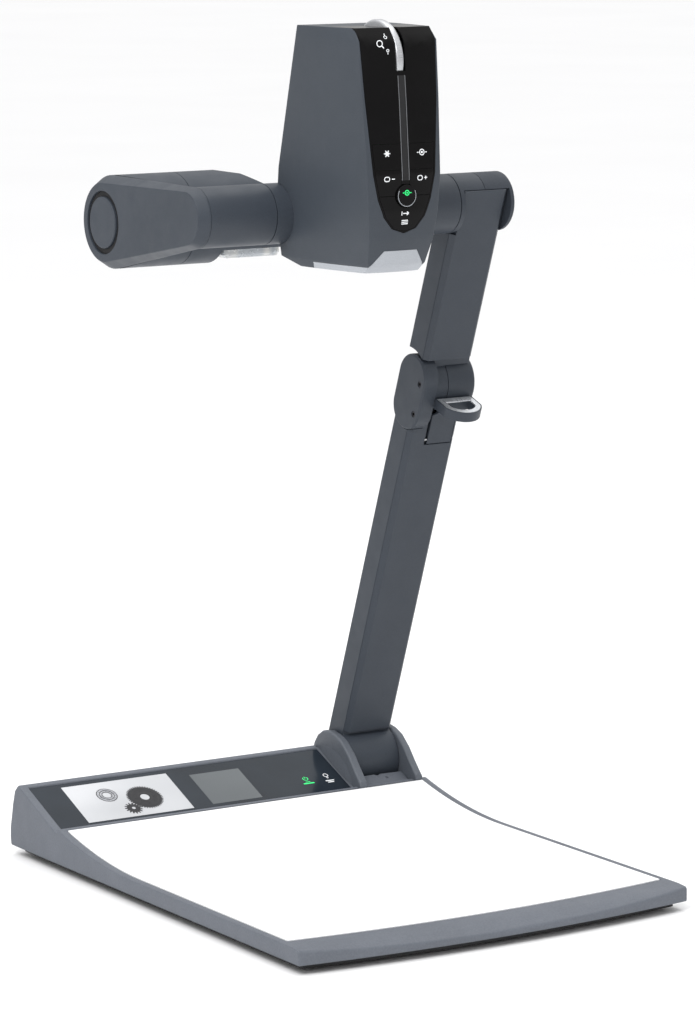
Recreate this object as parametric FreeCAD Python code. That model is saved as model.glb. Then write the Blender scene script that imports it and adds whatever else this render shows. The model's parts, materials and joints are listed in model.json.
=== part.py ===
import FreeCAD, Part
import math
import os

# Desktop document camera: a base with a working surface and a control panel,
# a two-part folding arm, a camera head on an axle, and a lamp arm beside it.
# Millimetres. X runs to the right, Y to the back, Z up. The origin is on the
# floor under the centre of the base.

V = FreeCAD.Vector

# ---- clearances and fits ----
running_fit = 0.05       # radial gap between a shaft and the bush that turns on it
side_gap = 0.5           # gap between parts that move past each other
body_gap = 0.5           # radial gap between a drum and the pocket around it
seam = 0.3               # visible joint line between covers

# ---- base ----
base_width = 395.0
base_depth = 515.0
front_bow = 13.0         # how far the front edge bulges at mid width
base_wall = 3.0
ground_gap = 8.0         # height of the shell's lower edge over the floor
rear_height = 66.7       # top of the rear ridge
rear_ridge_inset = 16.5  # from the rear face to the ridge
panel_slope = 22.9       # degrees
panel_depth = 87.5       # from the rear face to the front of the sloped panel
deck_height = 22.3       # height of the flat part of the deck
deck_bar = 3.2           # frame bar between the deck and the panel
deck_flat_end = 30.0     # the deck starts to rise here
deck_rear_height = 40.6
lip_depth = 26.0         # rounded front lip
skirt_inset = 9.0
pan_thickness = 3.0
foot_radius = 11.0
foot_height = 3.0
foot_inset_x = 38.0
foot_inset_y = 46.0

# ---- working surface and panel ----
surface_border = 7.8     # frame beside the surface
surface_front_border = 30.0
surface_rear_border = 9.0
surface_thickness = 2.4
panel_border = 8.5       # frame on the left of the glass
panel_right_border = 10.5
panel_inset = 6.0        # frame width above the glass, along the slope
glass_thickness = 2.0
glass_recess = 1.2
display_width = 110.0
display_height = 57.0
display_margin = 30.5    # glass on the left of the preview display
display_gap = 21.0       # between the two displays
touch_width = 53.0
touch_height = 48.4
module_depth = 5.0

# ---- base hinge ----
hinge_inset = 38.0       # from the rear face to the hinge axis
hinge_z = 54.0
hinge_drum_radius = 30.0
arm_border = 67.5        # from the base's right side to the arm's left face
arm_width = 52.5
cheek_thickness = 8.5
cheek_right_thickness = 7.5
hinge_shaft_radius = 7.0
hinge_bush_wall = 2.5
hinge_bush_length = 10.0

# ---- arms ----
arm_lean = 20.2          # degrees forward of upright
arm_thickness = 28.0
arm_shell_depth = 23.4   # rear shell; the front cover makes up the rest
arm_chamfer = 4.6
arm_wall = 2.5
lower_arm_length = 393.4
lower_offset = 7.2       # arm centre line behind the base hinge axis
elbow_offset = -5.0      # arm centre line in front of the elbow axis
upper_arm_length = 178.7
elbow_drum_radius = 26.5
elbow_shaft_radius = 6.0
elbow_plate_radius = 21.5
elbow_plate_top = 31.0
elbow_plate_bottom = 41.0
elbow_plate_thickness = 15.0
elbow_plate_proud = 1.8
elbow_plate_forward = 6.8    # plate's centre in front of the elbow axis
elbow_screw_forward = 20.6   # screws in front of the elbow axis
elbow_screw_rise = 9.0
elbow_screw_drop = 21.0
knuckle_offset = 27.0    # right side of the upper arm's knuckle from the arm's left face
drum_proud = 5.0         # drum's right end beyond the arm's right face
sweep_radius = 33.9      # room for the elbow housing when the arm folds
cover_start = 31.0       # lower edge of the upper arm's front cover over the pivot
fold_stop = 15.0         # degrees, relief on the back of the upper arm
fold_relief = 163.0      # degrees, relief on the back of the lower arm

# ---- release handle ----
handle_width = 39.0
handle_reach = 33.0
handle_straight = 19.0
handle_height = 9.5
handle_drop = 3.0        # top of the handle below the elbow axis
inlay_thickness = 1.2
handle_bar = 6.5         # material around the finger hole
tongue_offset = 21.5     # from the arm's left face
tongue_width = 26.1
knuckle_relief = 3.5     # room between the tongue and the turning knuckle
tongue_length = 42.0
tongue_depth = 3.6
tongue_side_gap = 3.0    # open gap on the left of the tongue
handle_pin_radius = 1.2

# ---- axle ----
axle_radius = 26.5
axle_shaft_radius = 7.0

# ---- camera head, drawn with the axle at this place and then carried to the real axle ----
head_axle_y = 33.405
head_axle_z = 595.124
head_wall = 2.5
panel_thickness = 2.2
wheel_radius = 35.0
wheel_half = 4.2
wheel_y = -59.0
wheel_z = 730.0
strip_half = 4.0
key_gap = 0.25
af_radius = 9.5
af_z = 618.0
key_row_1 = 662.0
key_row_2 = 640.0
lens_y = -39.0

# ---- lamp ----
swing_seam_x = -60.7
tube_end_x = -126.5
crank_slab = 1.5         # full-width slab of the crank beside the tube
crank_end_radius = 23.0  # crank's flat face around the axle
crank_face_radius = 35.0 # crank's flat face around the lamp axis
lamp_y = 177.7
lamp_z = 580.8
lamp_radius = 41.5
lamp_left = -138.0
lamp_bevel = 10.0        # length of the cone at the barrel's outer end
lamp_end_radius = 33.0
lamp_split = -65.5
lamp_shoulder = -23.5
lamp_right = 50.0
lamp_flat = 28.0         # flat underside below the lamp axis
lamp_flat_left = -33.0
lamp_wall = 2.5
window_left = -28.0
window_right = 30.0
window_half = 27.0
window_depth = 8.0
led_rim = 1.0            # LED plate past the window on each side, resting on the floor
cap_radius = 28.0
disc_radius = 23.0
lamp_shaft_radius = 8.0

# ---- derived ----
half_width = base_width / 2
front_y = -base_depth / 2
corner_y = front_y + front_bow
rear_face_y = base_depth / 2
rear_ridge_y = rear_face_y - rear_ridge_inset
panel_front_y = rear_face_y - panel_depth
deck_rear_y = panel_front_y - deck_bar
surface_half_width = half_width - surface_border
surface_front_y = corner_y + surface_front_border
surface_rear_y = panel_front_y - surface_rear_border
hinge_y = rear_face_y - hinge_inset
arm_left = half_width - arm_border
knuckle_right = arm_left + knuckle_offset
tongue_left = arm_left + tongue_offset
tongue_right = tongue_left + tongue_width
panel_left = -half_width + panel_border
panel_right = arm_left - panel_right_border
display_left = panel_left + display_margin
touch_left = display_left + display_width + display_gap
arm_right = arm_left + arm_width
lean = math.radians(arm_lean)
elbow_y = hinge_y + (lower_offset - elbow_offset) * math.cos(lean) - lower_arm_length * math.sin(lean)
elbow_z = hinge_z + (lower_offset - elbow_offset) * math.sin(lean) + lower_arm_length * math.cos(lean)
axle_y = elbow_y - upper_arm_length * math.sin(lean)
axle_z = elbow_z + upper_arm_length * math.cos(lean)


# ---- helpers ----
def box(x0, x1, y0, y1, z0, z1):
    """Block between two corners."""
    return Part.makeBox(x1 - x0, y1 - y0, z1 - z0, V(x0, y0, z0))


def rod_x(x0, x1, y, z, radius):
    """Cylinder along X."""
    return Part.makeCylinder(radius, x1 - x0, V(x0, y, z), V(1, 0, 0))


def cone_x(x0, x1, y, z, radius_0, radius_1):
    """Cone along X."""
    return Part.makeCone(radius_0, radius_1, x1 - x0, V(x0, y, z), V(1, 0, 0))


def ring_x(x0, x1, y, z, outer, inner):
    """Tube along X."""
    return rod_x(x0, x1, y, z, outer).cut(rod_x(x0 - 1, x1 + 1, y, z, inner))


def rod_y(y0, y1, x, z, radius):
    """Cylinder along Y."""
    return Part.makeCylinder(radius, y1 - y0, V(x, y0, z), V(0, 1, 0))


def rod_z(z0, z1, x, y, radius):
    """Cylinder along Z."""
    return Part.makeCylinder(radius, z1 - z0, V(x, y, z0))


def prism_x(points, x0, x1):
    """Closed outline in the YZ plane, swept along X."""
    wire = Part.makePolygon([V(x0, y, z) for y, z in points + points[:1]])
    return Part.Face(wire).extrude(V(x1 - x0, 0, 0))


def prism_y(points, y0, y1):
    """Closed outline in the XZ plane, swept along Y."""
    wire = Part.makePolygon([V(x, y0, z) for x, z in points + points[:1]])
    return Part.Face(wire).extrude(V(0, y1 - y0, 0))


def prism_z(points, z0, z1):
    """Closed outline in the XY plane, swept along Z."""
    wire = Part.makePolygon([V(x, y, z0) for x, y in points + points[:1]])
    return Part.Face(wire).extrude(V(0, 0, z1 - z0))


def stadium_x(x0, x1, y, z_low, z_high, radius):
    """Plate with two round ends, swept along X."""
    bar = box(x0, x1, y - radius, y + radius, z_low, z_high)
    return bar.fuse([rod_x(x0, x1, y, z_low, radius), rod_x(x0, x1, y, z_high, radius)]).removeSplitter()


def bevel(shape, size, pick):
    """Chamfer the edges that pick accepts."""
    edges = [edge for edge in shape.Edges if pick(edge)]
    return shape.makeChamfer(size, edges) if edges else shape


def soften(shape, radius, pick):
    """Round the edges that pick accepts."""
    edges = [edge for edge in shape.Edges if pick(edge)]
    return shape.makeFillet(radius, edges) if edges else shape


def flat_at_x(x):
    """Test for the edges that lie in the plane at x."""
    return lambda edge: abs(edge.BoundBox.XMin - x) < 0.01 and edge.BoundBox.XLength < 0.01


def placed(shape, y, z):
    """Carry an arm piece from its upright frame to its leaning place at (y, z)."""
    out = shape.copy()
    out.rotate(V(0, 0, 0), V(1, 0, 0), arm_lean)
    out.translate(V(0, y, z))
    return out


def on_lower(shape):
    """Place a piece drawn upright about the base hinge axis."""
    return placed(shape, hinge_y, hinge_z)


def on_upper(shape):
    """Place a piece drawn upright about the elbow axis."""
    return placed(shape, elbow_y, elbow_z)


def on_slope(shape):
    """Place a piece drawn on a level plane so that it lies on the panel's slope."""
    out = shape.copy()
    out.rotate(V(0, 0, 0), V(1, 0, 0), panel_slope)
    out.translate(V(0, panel_front_y, slope_z(panel_front_y)))
    return out


def slope_z(y):
    """Height of the sloped panel plane at y."""
    return rear_height - (rear_ridge_y - y) * math.tan(math.radians(panel_slope))


def on_axle(shape):
    """Carry a head or lamp piece from its drawing place to the real axle."""
    out = shape.copy()
    out.translate(V(0, axle_y - head_axle_y, axle_z - head_axle_z))
    return out


def write(name, shape):
    """Write one node, one or more solids, to its STEP file."""
    solids = shape if isinstance(shape, list) else [shape]
    found = [solid for item in solids for solid in item.Solids]
    result = found[0] if len(found) == 1 else Part.makeCompound(found)
    result.exportStep("parts/" + name + ".step")


# ---- base ----
def deck_curve(lift=0.0):
    """The deck's line from the flat front to the raised back, as (y, z) points."""
    points = []
    rise = deck_rear_height - deck_height
    start = deck_flat_end
    steps = 12
    for i in range(steps + 1):
        y = start + (deck_rear_y - start) * i / steps
        z = deck_height + rise * (i / steps) ** 2
        points.append((y, z + lift))
    return points


def base_outline(wall=0.0, low=ground_gap):
    """Side outline of the base shell, drawn in by the wall."""
    slope_cut = wall / math.cos(math.radians(panel_slope))
    points = [(front_y - 5 + wall, low), (front_y - 5 + wall, 11.0), (front_y + 6 + wall, 16.5 - wall)]
    points.append((front_y + 15 + wall, deck_height - 1.0 - wall))
    points.append((front_y + lip_depth + wall, deck_height - wall))
    points += deck_curve(-wall)
    points += [(panel_front_y + wall, slope_z(panel_front_y) - slope_cut)]
    points += [(rear_ridge_y - wall, slope_z(rear_ridge_y) - slope_cut)]
    for inset, z in ((9.5, 60.0), (5.5, 47.0), (0.5, 25.0), (0.0, 16.0), (1.1, low)):
        points.append((rear_face_y - inset - wall, z))
    return points


def bowed_plan(inset, z0, z1, rear=rear_face_y + 5):
    """Plan of the base with its bowed front edge, drawn in by inset."""
    x = half_width - inset
    left = V(-x, corner_y + inset, z0)
    right = V(x, corner_y + inset, z0)
    front = Part.Arc(left, V(0, front_y + inset, z0), right).toShape()
    rest = Part.makePolygon([right, V(x, rear - inset, z0), V(-x, rear - inset, z0), left])
    return Part.Face(Part.Wire([front] + rest.Edges)).extrude(V(0, 0, z1 - z0))


def base_solid(wall=0.0, low=ground_gap):
    """Full block of the base, drawn in by the wall."""
    block = prism_x(base_outline(wall, low), -half_width + wall, half_width - wall)
    return block.common(bowed_plan(wall, low - 1, rear_height + 5))


def surface_pocket(margin):
    """Space for the working surface, with a margin around it."""
    points = [(surface_front_y - 20, deck_height + 20), (deck_rear_y + 0.01, deck_height + 60)]
    x = surface_half_width + margin
    drop = 0.4 - surface_thickness
    curve = [(surface_front_y - 20, deck_height + drop)] + deck_curve(drop)
    sheet = prism_x(curve + points[::-1], -x, x)
    return sheet.common(surface_plan(margin))


def surface_plan(margin):
    """Plan of the working surface, its front edge bowed like the base."""
    x = surface_half_width + margin
    y = surface_front_y - margin
    left = V(-x, y, 0)
    right = V(x, y, 0)
    front = Part.Arc(left, V(0, y - front_bow, 0), right).toShape()
    back = surface_rear_y + margin
    rest = Part.makePolygon([right, V(x, back, 0), V(-x, back, 0), left])
    return Part.Face(Part.Wire([front] + rest.Edges)).extrude(V(0, 0, 100))


def panel_length():
    """Length of the slope between the frame bar and the rear ridge."""
    return (rear_ridge_y - panel_front_y) / math.cos(math.radians(panel_slope))


def pit_space(margin):
    """Room for the hinge drum between the cheeks."""
    x0 = arm_left - side_gap
    x1 = arm_right + side_gap
    drum = rod_x(x0, x1, hinge_y, hinge_z, hinge_drum_radius + margin)
    back = box(x0, x1, hinge_y, rear_face_y + 10, hinge_z - 8, hinge_z + 60)
    above = box(x0, x1, hinge_y - hinge_drum_radius - margin, hinge_y, hinge_z, hinge_z + 60)
    return drum.fuse([back, above])


def deck_shelf():
    """Support under the working surface, following the deck's rise."""
    start = surface_front_y - 14.0
    flat = deck_flat_end - 2.0
    middle = deck_rear_y - 36.8
    end = deck_rear_y - 3.8
    low = [(start, deck_height - 7.0), (flat, deck_height - 7.0), (middle, deck_height - 1.0), (end, 33.0)]
    top = [(end, 39.0), (middle, 31.0), (flat, deck_height), (start, deck_height)]
    return prism_x(low + top, -half_width + 1.0, half_width - 1.0)


def glass_space():
    """Recess of the control glass in the sloped frame."""
    y1 = panel_length() - panel_inset + 0.2
    space = on_slope(box(panel_left - 0.2, panel_right + 0.2, 2.8, y1, -glass_thickness - glass_recess, 20.0))
    return space.common(box(-half_width, half_width, panel_front_y, rear_face_y, 0.0, 200.0))


def display_front(height):
    """Distance along the slope to the front edge of a display of this height."""
    return 3.6 + (panel_length() - panel_inset - 3.6 - height) / 2


def base_shell():
    """Textured housing of the base, open below, with pockets for deck, panel and hinge."""
    shell = base_solid().cut(base_solid(base_wall, ground_gap - 2))
    seat = on_slope(box(panel_left - 2, panel_right + 2, 1.5, panel_length() - 2, -8.0, -1.0))
    shelf = deck_shelf()
    shell = shell.fuse([shelf.common(base_solid()), seat.common(base_solid())] + shell_bosses())
    for x, y in pan_screw_places():
        shell = shell.cut(rod_z(ground_gap, ground_gap + pan_thickness + 6.2, x, y, 1.5))
    shell = shell.cut(surface_pocket(0.3))
    shell = shell.cut(glass_space())
    for left, width, height in display_windows():
        y0 = display_front(height)
        window = box(left - 0.2, left + width + 0.2, y0 - 0.2, y0 + height + 0.2, -20.0, 0.0)
        shell = shell.cut(on_slope(window))
    floor = slope_z(panel_front_y) - 3.0
    below = box(panel_right + 1.5, half_width - 8.0, panel_front_y - 2.0, rear_face_y - 12.0, 20.0, floor)
    shell = shell.cut(below.common(base_solid(base_wall)))
    shell = shell.cut(pit_space(body_gap + 3.0))
    for x0, x1 in cheek_places():
        shell = shell.cut(cheek_block(x0, x1))
    for cut in rear_cuts():
        shell = shell.cut(cut)
    notch = rod_y(panel_front_y + 16, panel_front_y + 22, arm_left + 26, slope_z(panel_front_y + 18) + 2, 4.0)
    hole = rod_z(30, 60, arm_left + 33, panel_front_y + 11, 1.6)
    return shell.cut(notch).cut(hole).removeSplitter()


def display_windows():
    """Left edge, width and height of the preview display and the touch display."""
    return [(display_left, display_width, display_height), (touch_left, touch_width, touch_height)]


def rear_cuts():
    """Openings in the rear wall for the connector plate."""
    return [box(-150.0, -18.0, rear_face_y - 12, rear_face_y + 5, 16.0, 42.0)]


def cheek_places():
    """Left and right faces of the two hinge cheeks."""
    left = arm_left - side_gap
    right = arm_right + side_gap
    return [(left - cheek_thickness, left), (right, right + cheek_right_thickness)]


def cheek_outline():
    """Side outline of a hinge cheek over the base."""
    about_hinge = [(-58.1, -18.0), (-57.0, -9.0), (-46.5, 2.0), (-36.5, 13.5), (-24.5, 23.5), (-13.5, 28.0),
                   (-1.5, 30.0), (9.5, 28.5), (18.5, 23.0), (24.5, 15.0), (28.5, 4.0), (30.5, -10.0),
                   (30.5, -28.0), (-23.5, -28.0)]
    return [(hinge_y + y, hinge_z + z) for y, z in about_hinge]


def cheek_block(x0, x1):
    """Cheek before its bores."""
    return prism_x(cheek_outline(), x0, x1)


def on_cheek_top(edge):
    """True for the edges along the top of a cheek."""
    bounds = edge.BoundBox
    return bounds.XLength < 0.1 and bounds.ZMax > hinge_z + 6 and bounds.ZMin > hinge_z - 12


def cheeks():
    """The pair of hinge cheeks, with blind bores for the shaft."""
    made = []
    for side, (x0, x1) in enumerate(cheek_places()):
        block = cheek_block(x0, x1)
        block = soften(block, 2.2, on_cheek_top)
        depth = 5.0
        if side == 0:
            bore = rod_x(x1 - depth, x1 + 1, hinge_y, hinge_z, hinge_shaft_radius)
        else:
            bore = rod_x(x0 - 1, x0 + depth, hinge_y, hinge_z, hinge_shaft_radius)
        made.append(block.cut(bore))
    return made


def hinge_cradle():
    """Curved trough around the back of the hinge drum, bolted to the pan."""
    x0, x1 = arm_left - side_gap + 0.1, arm_right + side_gap - 0.1
    outer = hinge_drum_radius + body_gap + 2.8
    trough = ring_x(x0, x1, hinge_y, hinge_z, outer, hinge_drum_radius + body_gap)
    trough = trough.common(box(x0, x1, hinge_y - 24, hinge_y + 24, 0, hinge_z - 8))
    foot = ground_gap + pan_thickness
    legs = box(x0, x1, hinge_y - 16, hinge_y + 16, foot, hinge_z - hinge_drum_radius)
    legs = legs.cut(rod_x(x0 - 1, x1 + 1, hinge_y, hinge_z, outer - 0.5))
    legs = legs.cut(box(x0 + 5, x1 - 5, hinge_y - 17, hinge_y + 17, 0, hinge_z - outer - 1.5))
    return trough.fuse(legs).removeSplitter()


def base_pan():
    """Dark bottom pan: floor plate and inset skirt down towards the floor."""
    plate = bowed_plan(base_wall + 0.3, ground_gap, ground_gap + pan_thickness, rear_face_y - 1.0)
    skirt = bowed_plan(skirt_inset, foot_height, ground_gap, rear_face_y - 3.0)
    hollow = bowed_plan(skirt_inset + base_wall, foot_height - 1, ground_gap, rear_face_y - 3.0)
    pan = plate.fuse(skirt.cut(hollow))
    for x, y in foot_places():
        boss = rod_z(foot_height, ground_gap, x, y, foot_radius + 3.0)
        pan = pan.fuse(boss)
    for x, y in pan_screw_places():
        pan = pan.cut(rod_z(0, 20, x, y, 2.0))
        pan = pan.cut(rod_z(0, ground_gap + 0.8, x, y, 4.0))
    return pan.removeSplitter()


def foot_places():
    """Centres of the four feet."""
    x = half_width - foot_inset_x
    return [(sx * x, y) for sx in (-1, 1) for y in (corner_y + foot_inset_y, rear_face_y - foot_inset_y)]


def feet():
    """Four rubber feet under the pan."""
    made = []
    for x, y in foot_places():
        pad = rod_z(0, foot_height, x, y, foot_radius)
        made.append(bevel(pad, 0.8, lambda e: e.BoundBox.ZMax < 0.1))
    return made


def pan_screw_places():
    """Centres of the screws that hold the pan to the shell."""
    x = half_width - 22.0
    return [(sx * x, y) for sx in (-1, 1) for y in (corner_y + 54.5, 0.0, panel_front_y + 5.0)]


def shell_bosses():
    """Screw posts inside the shell, over the pan."""
    posts = []
    for x, y in pan_screw_places():
        posts.append(rod_z(ground_gap + pan_thickness, deck_height - 5.0, x, y, 4.5))
    return posts


def pan_screws():
    """Screws from below the pan into the shell's posts."""
    made = []
    for x, y in pan_screw_places():
        head = rod_z(ground_gap - 1.6, ground_gap + 0.8, x, y, 3.6)
        shank = rod_z(ground_gap + 0.8, ground_gap + pan_thickness + 6.0, x, y, 1.5)
        socket = rod_z(ground_gap - 2, ground_gap - 0.4, x, y, 1.3)
        made.append(head.fuse(shank).cut(socket).removeSplitter())
    return made


def working_surface():
    """White plate of the deck, curving up at the back."""
    top = [(surface_front_y - 20, deck_height + 0.4)] + deck_curve(0.4)
    drop = 0.4 - surface_thickness
    low = [(surface_front_y - 20, deck_height + drop)] + deck_curve(drop)
    sheet = prism_x(top + low[::-1], -surface_half_width, surface_half_width)
    return sheet.common(surface_plan(0.0))


def control_glass():
    """Dark glass over the displays, recessed in the sloped frame."""
    y1 = panel_length() - panel_inset
    plate = on_slope(box(panel_left, panel_right, 3.2, y1, -glass_thickness - glass_recess, -glass_recess))
    return plate


def display_module(left, width, height, depth):
    """Flat display unit under the glass."""
    y0 = display_front(height)
    top = -glass_thickness - glass_recess
    return on_slope(box(left, left + width, y0, y0 + height, top - depth, top))


def main_board():
    """Main circuit board on the pan, with its larger packages."""
    z = ground_gap + pan_thickness + 3.0
    x0 = panel_left + 39.0
    x1 = panel_right - 19.5
    y0 = panel_front_y + 8.0
    y1 = rear_ridge_y - 1.0
    board = box(x0, x1, y0, y1, z, z + 1.6)
    packages = [(30, 17, 32, 30, 5.0), (90, 14, 24, 24, 3.0), (140, 22, 28, 14, 2.2), (180, 17, 20, 22, 6.0)]
    for x, y, a, b, h in packages:
        board = board.fuse(box(x0 + x, x0 + x + a, y0 + y, y0 + y + b, z + 1.6, z + 1.6 + h))
    for x in (x0 + 6, x1 - 6):
        for y in (y0 + 6, y1 - 6):
            board = board.fuse(rod_z(ground_gap + pan_thickness, z, x, y, 3.0))
    return board


def power_unit():
    """Closed mains power unit on the pan, behind the deck."""
    z = ground_gap + pan_thickness
    return box(-60.0, 40.0, panel_front_y - 62.0, panel_front_y, z, z + 8.5)


def connector_plate():
    """Plate in the rear wall with the sockets' openings."""
    plate = box(-149.7, -18.3, rear_face_y - 6.0, rear_face_y - 4.2, 16.3, 41.7)
    for x, z, a, b in socket_places():
        plate = plate.cut(box(x - a / 2, x + a / 2, rear_face_y - 10, rear_face_y, z - b / 2, z + b / 2))
    return plate


def socket_places():
    """Centre x, centre z, width and height of each rear opening."""
    z = 28.5
    return [(-128.0, z, 28.0, 20.0), (-90.0, z, 17.0, 8.0), (-60.0, z, 17.0, 14.0), (-34.0, z, 15.0, 8.5)]


def sockets():
    """Socket shells behind the plate: mains inlet, video, network and data sockets."""
    made = []
    for x, z, a, b in socket_places():
        y1 = rear_face_y - 4.4
        y0 = y1 - 16.0
        block = box(x - a / 2 + 0.1, x + a / 2 - 0.1, y0, y1, z - b / 2 + 0.1, z + b / 2 - 0.1)
        hollow = box(x - a / 2 + 1.2, x + a / 2 - 1.2, y0 + 3, y1 + 1, z - b / 2 + 1.2, z + b / 2 - 1.2)
        made.append(block.cut(hollow))
    return made


# ---- base hinge ----
def hinge_shaft():
    """Fixed steel shaft between the cheeks."""
    (_, left), (right, _) = cheek_places()
    return rod_x(left - 4.9, right + 4.9, hinge_y, hinge_z, hinge_shaft_radius)


def hinge_bushes():
    """Two bronze bushes pressed into the lower arm's drum."""
    outer = hinge_shaft_radius + running_fit + hinge_bush_wall
    inner = hinge_shaft_radius + running_fit
    left = ring_x(arm_left, arm_left + hinge_bush_length, hinge_y, hinge_z, outer, inner)
    right = ring_x(arm_right - hinge_bush_length, arm_right, hinge_y, hinge_z, outer, inner)
    return [left, right]


# ---- arm sections, drawn upright: X as placed, Y- is the front, Z up the arm ----
def shell_bar(z0, z1, centre, inset=0.0):
    """Rear shell's full bar between two heights, centre line at y = centre."""
    back = centre + arm_thickness / 2 - inset
    front = back - arm_shell_depth + 2 * inset
    return box(arm_left + inset, arm_right - inset, front, back, z0, z1)


def cover_bar(z0, z1, centre):
    """Front cover with chamfered long edges."""
    front = centre - arm_thickness / 2
    back = front + arm_thickness - arm_shell_depth - seam
    c = back - front
    points = [(arm_left, back), (arm_right, back), (arm_right - c, front), (arm_left + c, front)]
    return prism_z(points, z0, z1)


def wedge(angle_0, angle_1, radius, x0, x1):
    """Sector about the X axis between two angles measured from up towards the back."""
    steps = 8
    points = [(0.0, 0.0)]
    for i in range(steps + 1):
        a = math.radians(angle_0 + (angle_1 - angle_0) * i / steps)
        points.append((radius * math.sin(a), radius * math.cos(a)))
    return prism_x(points, x0, x1)


def plate_centres():
    """Heights of the elbow plate's two round ends over the elbow axis."""
    return elbow_plate_radius - elbow_plate_bottom, elbow_plate_top - elbow_plate_radius


def elbow_left():
    """Outer face of the elbow housing."""
    return arm_left - elbow_plate_proud


def housing_right():
    """Inner face of the elbow housing."""
    return elbow_left() + elbow_plate_thickness


def lower_arm_shell():
    """Rear shell of the lower arm with its hinge drum."""
    length = lower_arm_length
    top = length - 20.0
    centre = lower_offset
    bar = shell_bar(0.0, top, centre)
    hollow = shell_bar(34.0, top - 45.0, centre, arm_wall)
    drum = rod_x(arm_left, arm_right, 0, 0, hinge_drum_radius)
    body = bar.cut(hollow).fuse(drum)
    body = body.cut(rod_x(arm_left - 1, arm_right + 1, 0, 0, hinge_shaft_radius + running_fit + 5.8))
    outer = hinge_shaft_radius + running_fit + hinge_bush_wall
    for x0, x1 in ((arm_left, arm_left + hinge_bush_length), (arm_right - hinge_bush_length, arm_right)):
        body = body.fuse(ring_x(x0, x1, 0, 0, outer + 5.0, outer))
    y = centre - elbow_offset
    relief = wedge(0.0, fold_relief, 120.0, arm_left - 5, arm_right + 5)
    relief.translate(V(0, y, length))
    body = body.cut(relief)
    body = body.cut(rod_x(arm_left - 5, knuckle_right + seam, y, length, elbow_drum_radius + body_gap))
    body = body.cut(housing_block(seam))
    body = body.cut(rod_x(knuckle_right + seam, arm_right + 5, y, length, elbow_drum_radius + 0.01))
    return body.cut(cover_space()).removeSplitter()


def cover_space():
    """Room in front of the rear shell for the cover, with the joint line."""
    front = lower_offset - arm_thickness / 2
    back = front + arm_thickness - arm_shell_depth
    return box(arm_left - 1, arm_right + 1, front - 30, back, hinge_drum_radius + 4.0, lower_arm_length)


def lower_arm_cover():
    """Front cover of the lower arm, ending over the drum and under the elbow."""
    y = lower_offset - elbow_offset
    cover = cover_bar(hinge_drum_radius + 4.0 + seam, lower_arm_length - 12.0, lower_offset)
    cover = cover.cut(rod_x(arm_left - 5, arm_right + 5, y, lower_arm_length, elbow_drum_radius + body_gap))
    cover = cover.cut(housing_block(seam))
    cover = cover.cut(handle_slot())
    y, z = handle_axis()
    bore = rod_x(tongue_left - tongue_side_gap - 2.0, tongue_right + 2.3, y, z, handle_pin_radius)
    return cover.cut(bore).removeSplitter()


def housing_block(grow):
    """Oval block of the elbow housing in the lower arm's frame."""
    low, high = plate_centres()
    y = lower_offset - elbow_offset - elbow_plate_forward
    radius = elbow_plate_radius + grow
    z = lower_arm_length
    return stadium_x(elbow_left() - grow, housing_right() + grow, y, z + low, z + high, radius)


def elbow_housing():
    """Oval housing on the left of the elbow, bored for the shaft and two screws."""
    y = lower_offset - elbow_offset
    body = housing_block(0.0)
    body = bevel(body, 1.2, flat_at_x(elbow_left()))
    body = body.cut(rod_x(elbow_left() + 4.0, housing_right() + 1, y, lower_arm_length, elbow_shaft_radius))
    front = y - elbow_screw_forward
    for z in screw_heights():
        body = body.cut(rod_x(elbow_left() - 1, elbow_left() + 2.6, front, z, 2.9))
        body = body.cut(rod_x(elbow_left(), elbow_left() + 12.0, front, z, 1.6))
    return body.removeSplitter()


def screw_heights():
    """Heights of the two housing screws in the lower arm's frame."""
    return (lower_arm_length + elbow_screw_rise, lower_arm_length - elbow_screw_drop)


def elbow_screws():
    """Two socket screws in the elbow housing."""
    y = lower_offset - elbow_offset - elbow_screw_forward
    made = []
    for z in screw_heights():
        head = rod_x(elbow_left() + 0.6, elbow_left() + 2.6, y, z, 2.8)
        shank = rod_x(elbow_left() + 2.6, elbow_left() + 11.0, y, z, 1.6)
        socket = rod_x(elbow_left(), elbow_left() + 1.9, y, z, 1.4)
        made.append(head.fuse(shank).cut(socket).removeSplitter())
    return made


def elbow_drum():
    """Right half of the elbow drum, part of the lower arm, with a round end."""
    y = lower_offset - elbow_offset
    z = lower_arm_length
    end = arm_right + drum_proud
    drum = rod_x(knuckle_right + seam, end, y, z, elbow_drum_radius)
    drum = soften(drum, 4.0, flat_at_x(end))
    return drum.cut(rod_x(knuckle_right, end - 4.0, y, z, elbow_shaft_radius))


def elbow_shaft():
    """Fixed shaft through the elbow, held by the housing and the drum."""
    y = lower_offset - elbow_offset
    return rod_x(elbow_left() + 4.1, arm_right + drum_proud - 4.1, y, lower_arm_length, elbow_shaft_radius)


# ---- release handle, drawn in the lower arm's frame ----
def handle_left():
    """Left face of the handle."""
    return housing_right() + 0.6


def drum_front():
    """Y of the elbow drum's front."""
    return lower_offset - elbow_offset - elbow_drum_radius


def cover_front():
    """Y of the lower cover's front face."""
    return lower_offset - arm_thickness / 2


def handle_plate(inset, y_back, z0, z1):
    """D-shaped plate between two heights, drawn in by inset."""
    x0 = handle_left() + inset
    x1 = handle_left() + handle_width - inset
    y_straight = drum_front() - handle_straight
    y_front = drum_front() - handle_reach + inset
    left = V(x0, y_straight, z0)
    right = V(x1, y_straight, z0)
    front = Part.Arc(right, V((x0 + x1) / 2, y_front, z0), left).toShape()
    rest = Part.makePolygon([left, V(x0, y_back, z0), V(x1, y_back, z0), right])
    return Part.Face(Part.Wire(rest.Edges + [front])).extrude(V(0, 0, z1 - z0))


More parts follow.
